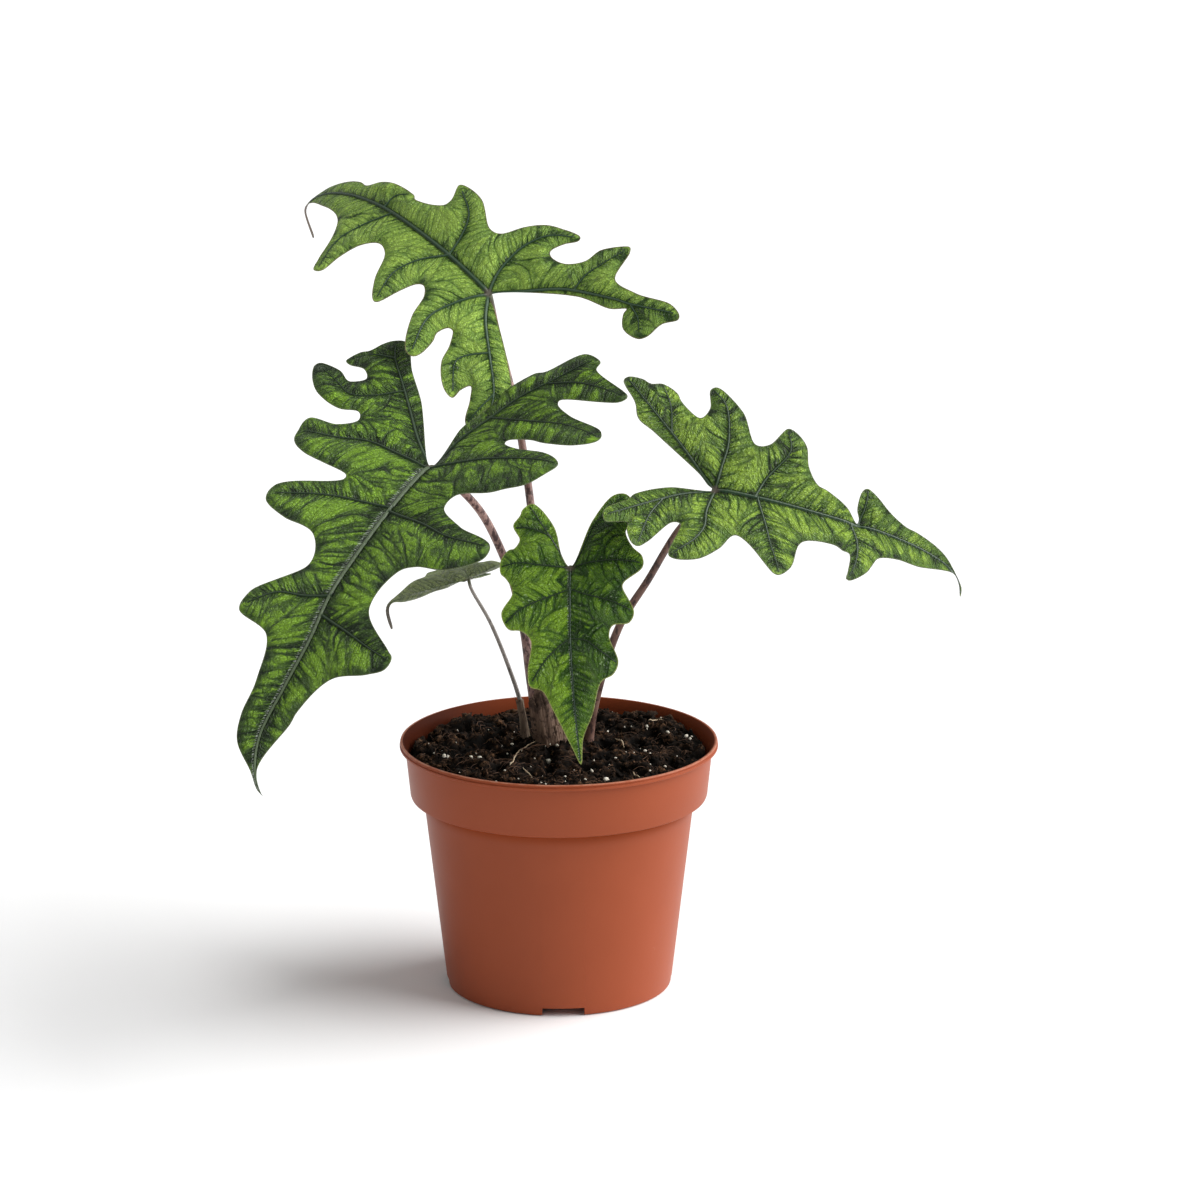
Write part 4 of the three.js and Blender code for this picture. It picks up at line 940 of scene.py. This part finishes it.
# Each stalk: the points it passes, half its width at foot and neck, and how high its widened sheath reaches.
STALKS = {
    "top": ([(-6.2, 7.4, 107), (-5.8, 8.2, 114), (-5.4, 9.4, 121), (-6.8, 17, 145.3), (-11.1, 27, 183.2),
             (-16.2, 36, 214.3), (-23.6, 42, 244)], 2.1, 1.3, 134),
    "left": ([(-8.2, 5.4, 106), (-9.3, 5, 114), (-10.6, 4.6, 122.4), (-15.9, 1, 152.6), (-21.7, -7, 171.7),
              (-28.9, -15, 188), (-38.7, -25.5, 201)], 2.1, 1.4, 136),
    "right": ([(10.9, 11.4, 80.5), (11.1, 11.4, 91), (14.7, 10, 111.9), (23, 8, 137.9), (33.5, 4, 156.5),
               (45.3, 0, 177.5), (54, -3.6, 187)], 2.2, 1.2, 98),
    "front": ([(-6.4, 4.9, 108), (-5.8, 4.5, 115), (-4.9, 3.9, 121), (-0.5, -3, 133), (3.5, -13.5, 148),
               (5, -21.5, 160.5)], 1.9, 1.2, 130),
    "small": ([(-12.6, 14, 83), (-12.8, 14.1, 91), (-14.6, 15, 105), (-19.4, 17, 119.8),
               (-26.1, 18, 136.4)], 1.15, 0.65, 95),
}


def add_stalk(name, material):
    path, foot, neck, sheath_top = STALKS[name]
    out = blade_axes(LEAVES[name])[2]
    joint = np.array(LEAVES[name]["attach"], float)
    line = smooth_line([*path, joint - 4.4 * out, joint - 1.1 * out], RING_STEP)
    share = run_along(line) / run_along(line)[-1]
    radii = foot + (neck - foot) * np.sqrt(share) + 0.7 * smoothstep(sheath_top - line[:, 2], 0, 20)
    points, faces = tube(line, radii, STALK_SIDES, (1, 0, 0))
    piece = new_piece(f"stalk_{name}_fine", points, faces, material, {"share": np.repeat(share, STALK_SIDES)})
    finish_piece(piece, "stalk", f"stalk_{name}", angle=60)


# Sections of the corm and the stem above it: height, middle, half width across and half depth.
STEM_SECTIONS = [
    (51, -3, 7, 3.2, 3.2), (55, -3, 7, 7.2, 7.2), (63, -3, 7, 9, 9), (71, -3, 7, 7.4, 7.4),
    (77, -3, 7, 5.3, 5.3), (91, -3, 7, 5.2, 4.8), (98, -4.6, 6.6, 5.6, 4.8), (108, -6.2, 6.2, 5, 4.6),
    (116, -7, 6.1, 4.5, 4.3), (121, -7.1, 6.2, 3.9, 3.8), (125, -7.1, 6.2, 2.6, 2.6),
    (127, -7.1, 6.2, 0.5, 0.5),
]


def wrinkle(angles, z, seed):
    """How much the papery skin stands out at a turn and height: lengthwise folds that wander."""
    ring = [(math.cos(a), math.sin(a)) for a in angles]
    folds = wobble([(2.4 * c, 2.4 * s, 0.03 * z + seed) for c, s in ring])
    fine = wobble([(7 * c, 7 * s, 0.06 * z + seed) for c, s in ring])
    return 0.55 * folds + 0.35 * fine


def oval(angles, x, y, z, rx, ry):
    """Points at these turns on an oval round a middle."""
    return np.column_stack([x + rx * np.cos(angles), y + ry * np.sin(angles), z + 0 * angles])


def add_stem(material):
    angles = turns(STEM_SIDES)
    rings = []
    for z, x, y, rx, ry in smooth_line(STEM_SECTIONS, RING_STEP):
        folds = min(1, rx / 4) * wrinkle(angles, z, 0)
        rings.append(oval(angles, x, y, z, rx + folds, ry + folds))
    piece = new_piece("stem_fine", np.concatenate(rings), skin_faces(len(rings), STEM_SIDES), material)
    finish_piece(piece, "sheath", "stem", angle=60)


def add_wrap(name, sections, start, span, low, high, reach, ragged, seed, material):
    """A dry wrap round a stem: a thin curved sheet, open at the back, with a torn upper edge."""
    heights, *middle = np.array(sections).T
    angles = np.radians(start + span * np.linspace(0, 1, WRAP_COLUMNS))
    torn = wobble([(4 * a, seed, 0) for a in angles]) + 0.6 * wobble([(13 * a, seed, 4) for a in angles])
    top = high + ragged * torn
    sheets = []
    for skin in (0.3, 0):
        for share in np.linspace(0, 1, WRAP_ROWS):
            z = low + (top - low) * share
            x, y, rx, ry = (np.interp(z, heights, values) for values in middle)
            out = reach * (0.6 + 0.4 * share) + skin * np.minimum(1, rx / 3) + 0.4 * share ** 6
            out = out + np.minimum(1, rx / 5) * wrinkle(angles, low + (high - low) * share, seed)
            sheets.append(oval(angles, x, y, z, rx + out, ry + out))
    half = WRAP_ROWS * WRAP_COLUMNS
    at = np.arange(half).reshape(WRAP_ROWS, WRAP_COLUMNS)
    corners = (at[:-1, :-1], at[:-1, 1:], at[1:, 1:], at[1:, :-1])
    quads = np.column_stack([corner.ravel() for corner in corners])
    border = [*at[0, :], *at[1:, -1], *at[-1, -2::-1], *at[-2:0:-1, 0]]
    faces = [*quads.tolist(), *(quads[:, ::-1] + half).tolist()]
    faces += [(b, a, a + half, b + half) for a, b in zip(border, border[1:] + border[:1])]
    finish_piece(new_piece(name, np.concatenate(sheets), faces, material), "sheath")


def pot_profile():
    """Radius and height all round the wall: the outside from the middle of the floor up, then the inside."""
    base, shoulder, step = BASE_RADIUS, SHOULDER_RADIUS, SHOULDER_HEIGHT
    collar, ledge, top = COLLAR_FOOT_RADIUS, COLLAR_FOOT_HEIGHT, COLLAR_TOP_RADIUS
    rim, lip, floor_top = RIM_RADIUS, POT_HEIGHT - LIP_HEIGHT, FLOOR_HEIGHT + POT_WALL
    outside = [
        (PAD_RADIUS, 0), (PAD_RADIUS + 1.2, FLOOR_HEIGHT), (base - 3.6, FLOOR_HEIGHT), (base - 2.6, 0),
        (base - 1.4, 0), (base - 0.4, 0.5), (base, 1.8), (shoulder, step), (shoulder + 0.6, step + 0.6),
        (collar - 0.9, ledge - 0.6), (collar - 0.2, ledge - 0.2), (collar + 0.1, ledge + 0.6),
        (top, lip - 0.3), (top + 0.3, lip), (rim - 0.4, lip), (rim, lip + 0.3), (rim, lip + 0.9),
        (rim - 0.45, lip + 1.2), (rim - 0.45, lip + 1.45), (rim - 0.15, POT_HEIGHT - 0.6),
        (rim - 0.3, POT_HEIGHT - 0.15), (rim - 0.7, POT_HEIGHT),
    ]
    inside = [
        (rim - 1.3, POT_HEIGHT - 0.1), (rim - 1.7, POT_HEIGHT - 0.6), (top - 0.8, POT_HEIGHT - 3),
        (collar - POT_WALL, ledge + 1.4), (shoulder - POT_WALL, step + 1.6),
        (base - POT_WALL, FLOOR_HEIGHT + 2.4), (base - POT_WALL - 1, floor_top), (PAD_RADIUS, floor_top),
    ]
    return outside + inside


def round_pot(radius, turn, height=0):
    """A place round the pot's middle, in metres."""
    return radius * math.cos(turn) * MM, radius * math.sin(turn) * MM, height * MM


def add_pot(material):
    """The wall is pulled up ring by ring from a disc; notches and drain holes are cut out of the bottom."""
    rows = pot_profile()
    bpy.ops.object.select_all(action="DESELECT")
    bpy.ops.mesh.primitive_circle_add(vertices=POT_SIDES, radius=rows[0][0] * MM, fill_type="NGON")
    pot = bpy.context.object
    pot.name = pot.data.name = "pot_fine"
    bpy.ops.object.mode_set(mode="EDIT")
    bpy.ops.mesh.select_all(action="SELECT")
    for (radius, height), (wider, higher) in zip(rows, rows[1:]):
        bpy.ops.mesh.extrude_region_move(TRANSFORM_OT_translate={"value": (0, 0, (higher - height) * MM)})
        bpy.ops.transform.resize(value=(wider / radius, wider / radius, 1), center_override=(0, 0, 0))
    bpy.ops.mesh.select_all(action="SELECT")
    bpy.ops.mesh.normals_make_consistent(inside=False)
    bpy.ops.object.mode_set(mode="OBJECT")
    cutters = []
    for i in range(4):
        turn = math.radians(90 * i + NOTCH_TURN)
        bpy.ops.mesh.primitive_cube_add(
            size=MM, location=round_pot(BASE_RADIUS - 1, turn), rotation=(0, 0, turn),
            scale=(CUT_DEPTH, NOTCH_WIDTH, 2 * FLOOR_HEIGHT))
        cutters.append(bpy.context.object)
    for turn in turns(DRAIN_COUNT):
        bpy.ops.mesh.primitive_cylinder_add(
            vertices=DRAIN_SIDES, radius=DRAIN_RADIUS * MM, depth=CUT_DEPTH * MM,
            location=round_pot(DRAIN_CIRCLE, turn, FLOOR_HEIGHT))
        cutters.append(bpy.context.object)
    for cutter in cutters:
        cut = pot.modifiers.new("cut", "BOOLEAN")
        cut.object, cut.operation, cut.solver = cutter, "DIFFERENCE", "EXACT"
        make_active(pot)
        bpy.ops.object.modifier_apply(modifier=cut.name)
        bpy.data.objects.remove(cutter)
    pot.data.materials.append(material)
    places = np.zeros(3 * len(pot.data.vertices))
    pot.data.vertices.foreach_get("co", places)
    x, y, z = places.reshape(-1, 3).T / MM
    step = COLLAR_FOOT_HEIGHT + 0.4
    heights = (0, SHOULDER_HEIGHT, step, step + 0.1, POT_HEIGHT - 1.5, POT_HEIGHT - 0.3)
    radii = (BASE_RADIUS - 0.8, SHOULDER_RADIUS - 0.8, SHOULDER_RADIUS - 0.8, COLLAR_FOOT_RADIUS - 0.8,
             COLLAR_TOP_RADIUS - 0.5, RIM_RADIUS - 1.1)
    inner = (np.hypot(x, y) < np.interp(z, heights, radii)) & (z > FLOOR_HEIGHT + 0.2)
    pot.data.attributes.new("inner", "FLOAT", "POINT").data.foreach_set("value", inner.astype(np.float32))
    finish_piece(pot, "pot_plastic", "pot", angle=30)


def lumps(x, y, size, seed):
    """Rounded lumps of about this size with creases between them, from about -0.5 to 0.5."""
    return np.array([0.45 - noise.voronoi(Vector((a / size, b / size, seed)))[0][0] for a, b in zip(x, y)])


def soil_detail(x, y):
    """Clods, crumbs and pits on top of the CAD surface's lumps."""
    pits = wobble([(a / 6.5, b / 6.5, 8) for a, b in zip(x, y)])
    rough = 3.4 * lumps(x, y, 6.4, 2) + 1.9 * lumps(x, y, 2.9, 5) + 0.9 * lumps(x, y, 1.3, 7)
    return rough - 3.8 * smoothstep(pits, 0.08, 0.45)


def soil_height(x, y):
    mounds = sum(high * np.exp(-((x - a) ** 2 + (y - b) ** 2) / spread) for a, b, high, spread in MOUNDS)
    broad = 0.9 * np.sin(x / 9 + 1.3) * np.cos(y / 8 - 0.4)
    middle = 0.8 * np.sin(x / 3.9 + y / 6.1) * np.sin(y / 4.3 - x / 7.7 + 2)
    return SOIL_LEVEL + mounds + broad + middle + 0.8 * smoothstep(y, 5, 40) + soil_detail(x, y)


def soil_top(x, y, reach=0.8):
    """The highest soil within a short way of each place, where a thing that lies on it rests."""
    return np.max([soil_height(x + far * math.cos(turn), y + far * math.sin(turn))
                   for far in (0, reach) for turn in turns(6)], axis=0)


def add_soil(material):
    """A disc of soil with a lumpy top, on a plain plug that fills the pot."""
    random = np.random.default_rng(21)
    rows = int(2 * SOIL_RADIUS / SOIL_ROW_STEP)
    grid = np.array([(SOIL_GRAIN * (column + row % 2 / 2), SOIL_ROW_STEP * row)
                     for row in range(rows) for column in range(rows)]) - SOIL_RADIUS
    grid = grid[np.hypot(grid[:, 0], grid[:, 1]) < SOIL_RADIUS - 0.5 * SOIL_GRAIN]
    grid = grid + random.normal(0, 0.08, grid.shape)
    edge = np.column_stack([np.cos(turns(SOIL_SIDES)), np.sin(turns(SOIL_SIDES))])
    flat, _, faces, _, _, _ = geometry.delaunay_2d_cdt(
        [Vector(p) for p in np.vstack([SOIL_RADIUS * edge, grid])], [], [], 0, 1e-5, False)
    flat = np.array(flat)
    x, y = flat[:, 0], flat[:, 1]
    wall = [(COLLAR_FOOT_RADIUS - 1.9, COLLAR_FOOT_HEIGHT + 1.8),
            (SHOULDER_RADIUS - 2.1, SHOULDER_HEIGHT + 2), (BASE_RADIUS - 2.5, FLOOR_HEIGHT + 3.2),
            (BASE_RADIUS - 3.4, FLOOR_HEIGHT + POT_WALL + 0.3)]
    below = [np.column_stack([radius * edge, np.full(SOIL_SIDES, z)]) for radius, z in wall]
    ring = np.arange(SOIL_SIDES)
    rings = [ring, *(ring + len(flat) + k * SOIL_SIDES for k in range(len(wall)))]
    for upper, lower in zip(rings, rings[1:]):
        faces += np.column_stack([upper, lower, np.roll(lower, -1), np.roll(upper, -1)]).tolist()
    faces.append(rings[-1][::-1])
    # How high the detail stands, which paints shade into the low places of the soil.
    raised = np.concatenate([soil_detail(x, y), np.zeros(SOIL_SIDES * len(wall))])
    top = np.column_stack([flat, soil_height(x, y)])
    piece = new_piece("soil_fine", np.concatenate([top, *below]), faces, material, {"raised": raised})
    finish_piece(piece, "soil", "soil")


def lump_shape(subdivisions, roughness, seed):
    """One irregular lump about 2 across: its points and faces."""
    bpy.ops.object.select_all(action="DESELECT")
    bpy.ops.mesh.primitive_ico_sphere_add(subdivisions=subdivisions, radius=1)
    ball = bpy.context.object
    points = np.array([vertex.co * (1 + roughness * noise.noise(vertex.co * 1.7 + Vector((seed, 0, 0))))
                       for vertex in ball.data.vertices])
    faces = np.array([polygon.vertices for polygon in ball.data.polygons])
    bpy.data.objects.remove(ball)
    return points, faces


def strewn(name, shapes, spots, sizes, flatness, sink, material, seed, tones=(0.2, 1.0), ground=soil_height):
    """Turned and stretched copies of a few shapes, lying on the soil, joined into one piece."""
    random = np.random.default_rng(seed)
    points, faces, raised, offset = [], [], [], 0
    heights = ground(spots[:, 0], spots[:, 1])
    for k, ((x, y), z, size) in enumerate(zip(spots, heights, sizes)):
        shape, skin = shapes[k % len(shapes)]
        stretch = np.array([random.uniform(0.8, 1.35), random.uniform(0.7, 1.1), random.uniform(0.8, 1.2)])
        stretch[2] *= flatness
        turned, leant, tipped = random.uniform(0, 2 * math.pi), random.normal(0, 0.45), random.normal(0, 0.45)
        turn = np.array(Euler((leant, tipped, turned)).to_matrix())
        faces.append(skin + offset)
        points.append((shape * stretch * size / 2) @ turn.T + (x, y, z + sink * size))
        offset += len(shape)
        # A random tone for each lump, read through the same number that paints shade into the soil's pits.
        raised.append(np.full(len(shape), random.uniform(*tones)))
    piece = new_piece(name, np.concatenate(points), np.concatenate(faces), material,
                      {"raised": np.concatenate(raised)})
    finish_piece(piece, "soil")


def disc_spots(random, count, reach):
    """Even random places on a disc."""
    far, turn = reach * np.sqrt(random.uniform(0, 1, count)), random.uniform(0, 2 * math.pi, count)
    return np.column_stack([far * np.cos(turn), far * np.sin(turn)])


def add_strands(name, lines, thickness, sides, material, slot):
    """Thin tubes that taper at both ends, joined into one piece."""
    points, faces, offset = [], [], 0
    for line in lines:
        share = np.clip(np.linspace(0, 1, len(line)), 0.04, 0.96)
        spots, skin = tube(line, thickness * (0.35 + 0.65 * np.sin(math.pi * share) ** 0.5), sides)
        points.append(spots)
        faces += [[index + offset for index in face] for face in skin]
        offset += len(spots)
    finish_piece(new_piece(name, np.concatenate(points), faces, material), slot)


# White perlite and pale grit that show from the front: place and size.
PERLITE = (
    (30.7, 11, 1.8), (23, -11.3, 2.3), (17.7, -36.9, 2.2), (12.5, -26.7, 1.3), (39.7, -25.4, 1.2),
    (33.4, 23, 1.4), (-3.7, -7.4, 2.0), (-43, -10, 1.8), (-41.6, -12.5, 1.2), (-32.8, -13.9, 1.3),
    (-29.4, -16.4, 1.5), (-23.9, -28, 1.1), (-6.2, -44.4, 1.0), (20.1, 47.5, 1.0), (25.9, 42, 1.3),
    (29.4, 42, 1.1), (38.5, 29.7, 1.0), (41.3, 15, 1.3), (48.2, 15, 1.6), (49.6, 11, 1.3), (50.4, 14, 1.2),
    (32.5, -0.9, 1.4), (34.3, -4.8, 1.2), (-0.7, -0.9, 1.0), (-17.8, 8.4, 1.1), (-23.9, 44.7, 1.0),
    (-24.4, 35.2, 0.9), (10, -38, 1.0), (8, -40, 0.9),
)
# Pale roots on the soil: the places each passes.
ROOTS = (
    ((-8.7, 4.0), (-10.9, 0.5), (-14.6, -2.2), (-16.4, -10), (-17, -19), (-18, -25.4)),
    ((21.2, 13.7), (23.1, 9.7), (24.6, 3.1)), ((-13.2, -24.2), (-11.3, -28), (-9.4, -31.8)),
    ((27.8, -26.7), (28.5, -31.8), (30.3, -35.6)), ((34, 30), (38, 33), (41, 31)),
)


def add_litter(peat):
    """What lies on the soil: crumbs, clods, perlite, fibres and a few roots."""
    random = np.random.default_rng(8)
    small = [lump_shape(1, 1.1, seed) for seed in range(5)]
    large = [lump_shape(2, 1.1, seed) for seed in range(5, 10)]
    rounded = [lump_shape(2, 0.5, seed) for seed in range(10, 14)]
    for name, shapes, count, reach, low, high, flatness, sink, seed, tones in (
            ("soil_crumbs", small, 1700, 54, 0.6, 1.7, 0.75, 0.1, 0, (-0.6, 0.9)),
            ("soil_clods", large, 150, 52, 2.0, 4.6, 0.6, 0.02, 1, (-0.8, 0.6))):
        spots, sizes = disc_spots(random, count, reach), random.uniform(low, high, count)
        strewn(name, shapes, spots, sizes, flatness, sink, peat, seed, tones)
    seen, bits = np.array(PERLITE), 60
    spots = np.vstack([seen[:, :2], disc_spots(random, bits, 52)])
    sizes = np.concatenate([seen[:, 2], random.uniform(0.4, 0.9, bits)])
    white = plain_finish("perlite", (232, 226, 212), (204, 194, 176), 900, 0.9)
    strewn("perlite", rounded, spots, sizes, 0.85, 0.15, white, 3, ground=soil_top)

    threads = []
    for x, y in disc_spots(random, 260, 51):
        heading, bend, length = random.uniform(0, 2 * math.pi), random.normal(0, 0.35), random.uniform(2.5, 8)
        flat = [np.array((x, y))]
        for _ in range(7):
            heading += bend + random.normal(0, 0.2)
            flat.append(flat[-1] + length / 7 * np.array((math.cos(heading), math.sin(heading))))
        flat = np.array(flat)
        height = soil_height(flat[:, 0], flat[:, 1])
        arch = np.sin(np.linspace(0, math.pi, 8)) * random.uniform(0.2, 1.2)
        threads.append(np.column_stack([flat, 0.35 * height + 0.65 * height.mean() + 0.4 + arch]))
    brown = plain_finish("fibre", (96, 66, 46), (60, 42, 30), 500, 0.9)
    add_strands("soil_fibres", threads, 0.13, 5, brown, "soil")
    roots = []
    for path in ROOTS:
        flat = smooth_line(path, 1.0)
        height = soil_top(flat[:, 0], flat[:, 1], 0.5)
        smoothed = np.convolve(np.pad(height, 3, mode="edge"), np.ones(7) / 7, mode="valid")
        roots.append(np.column_stack([flat, np.maximum(smoothed, height) + 0.5]))
    cream = plain_finish("root", (200, 180, 150), (150, 126, 100), 500, 0.7)
    add_strands("pale_roots", roots, 0.27, 8, cream, "soil")


def add_key(turn, climb, spread, strength):
    """A broad soft light from far off, turned from the camera's side to the right and raised, in degrees."""
    turn, climb = math.radians(turn), math.radians(climb)
    key = bpy.data.objects.new("key", bpy.data.lights.new("key", "SUN"))
    key.data.angle, key.data.energy = math.radians(spread), strength
    towards = Vector((math.sin(turn) * math.cos(climb), -math.cos(turn) * math.cos(climb), math.sin(climb)))
    key.rotation_euler = towards.to_track_quat("Z", "Y").to_euler()
    bpy.context.scene.collection.objects.link(key)


camera = bpy.data.objects.new("camera", bpy.data.cameras.new("camera"))
bpy.context.scene.collection.objects.link(camera)
camera.location = CAMERA_PLACE
camera.rotation_euler = (math.radians(CAMERA_TILT), 0, 0)
camera.data.lens, camera.data.sensor_width = CAMERA_LENS, FILM_WIDTH
bpy.context.scene.camera = camera
bpy.context.scene.view_settings.view_transform = "Standard"

world = bpy.data.worlds.new("studio")
bpy.context.scene.world = world
world.use_nodes = True
sky = world.node_tree.nodes["Background"]
sky.inputs["Color"].default_value, sky.inputs["Strength"].default_value = (1, 1, 1, 1), SKY_STRENGTH
add_key(turn=91, climb=35, spread=66, strength=5.0)

bpy.ops.mesh.primitive_plane_add(size=FLOOR_SIZE)
floor = bpy.context.object
floor.name = "floor"
backdrop = Finish("backdrop", Roughness=0.9)
backdrop.set("Base Color", (0.93, 0.93, 0.93, 1))
floor.data.materials.append(backdrop.material)

add_pot(pot_finish())
peat = soil_finish()
add_soil(peat)
add_litter(peat)
paper = paper_finish("dry_sheath", (132, 108, 92), (96, 74, 60), (46, 32, 26))
thin_paper = paper_finish("thin_sheath", (140, 120, 104), (104, 86, 72), (74, 58, 48))
add_stem(paper)
stem_line = smooth_line(STEM_SECTIONS, 2)
add_wrap("sheath_foot", stem_line, 170, 190, 88, 96, 0.4, 3, 3, paper)
add_wrap("sheath_outer", stem_line, 205, 120, 88, 110, 0.3, 4, 5, paper)
add_wrap("sheath_right", stem_line, 300, 130, 88, 100, 0.25, 3, 9, paper)
fork_line = [(100, -4.9, 6.5, 5.4, 4.8), (110, -6.4, 6.2, 4.9, 4.6), (118, -7.3, 6.3, 5.0, 4.9),
             (124, -7.9, 6.5, 5.4, 5.2), (130, -8.6, 6.9, 6.0, 5.6)]
add_wrap("sheath_fork", fork_line, 35, 118, 102, 120, 0.15, 2.5, 15, paper)
small_line = [(83, -12.6, 14, 1.9, 1.8), (91, -12.8, 14.1, 1.6, 1.5), (98, -13.5, 14.5, 1.2, 1.15),
              (107, -15.1, 15.2, 0.95, 0.95), (112, -16.6, 16, 0.9, 0.9)]
add_wrap("sheath_small", small_line, 170, 190, 88, 107, 0.12, 1.5, 12, thin_paper)
edge_line = np.array([(x + rx + 0.2, y - 0.9, z) for z, x, y, rx, _ in smooth_line(small_line[:4], 1.5)])
add_strands("sheath_edge", [edge_line], 0.16, 6,
            plain_finish("pale_edge", (176, 156, 130), (150, 130, 108), 300, 0.6), "sheath")

blotched = stalk_finish("blotched_skin", (158, 126, 118), (122, 88, 80), (58, 32, 32))
for name in ("top", "left", "front"):
    add_stalk(name, blotched)
add_stalk("right", stalk_finish("brown_skin", (128, 96, 84), (104, 74, 64), (56, 36, 34), 0.52))
grey_skin = stalk_finish("grey_skin", (158, 150, 144), (138, 130, 124), (84, 74, 70), 0.56, (104, 88, 74))
add_stalk("small", grey_skin)

# Each blade: colours of bays, leaf at large, darks, ribs and midrib; then reach of darks, patches and painted
# glints.
BLADE_LOOKS = {
    "left": ((136, 180, 50), (69, 98, 36), (25, 44, 15), (34, 54, 34), (82, 96, 70), 3.3, 0.32, 0.3),
    "top": ((178, 216, 90), (136, 174, 72), (48, 78, 24), (50, 78, 56), (46, 72, 52), 2.4, 0.22, 0.35),
    "right": ((152, 186, 66), (89, 121, 44), (28, 47, 13), (36, 60, 36), (36, 60, 40), 2.6, 0.18, 0.45),
    "front": ((130, 170, 44), (72, 109, 22), (33, 64, 8), (26, 48, 26), (30, 56, 38), 1.5, 0.12, 0.45),
    "small": ((186, 202, 146), (152, 168, 116), (80, 96, 54), (60, 76, 50), (60, 76, 50)),
}
# What else sets single blades apart.
BLADE_EXTRAS = {
    "left": {"painted_ticks": 0.6},
    "top": {"margin": (128, 118, 80)},
    "front": {"roughness": 0.28, "margin": (158, 166, 92), "edge_shade": 0.0, "tip_light": 0.3,
              "flank_shade": 0.36, "painted_ticks": 0.6},
    "small": {"back": (136, 150, 100)},
}
for seed, (name, look) in enumerate(BLADE_LOOKS.items(), 3):
    finish = blade_finish(f"green_{name}", *look, **BLADE_EXTRAS.get(name, {}))
    add_blade(name, seed, finish, "blade_underside" if name == "small" else "blade")
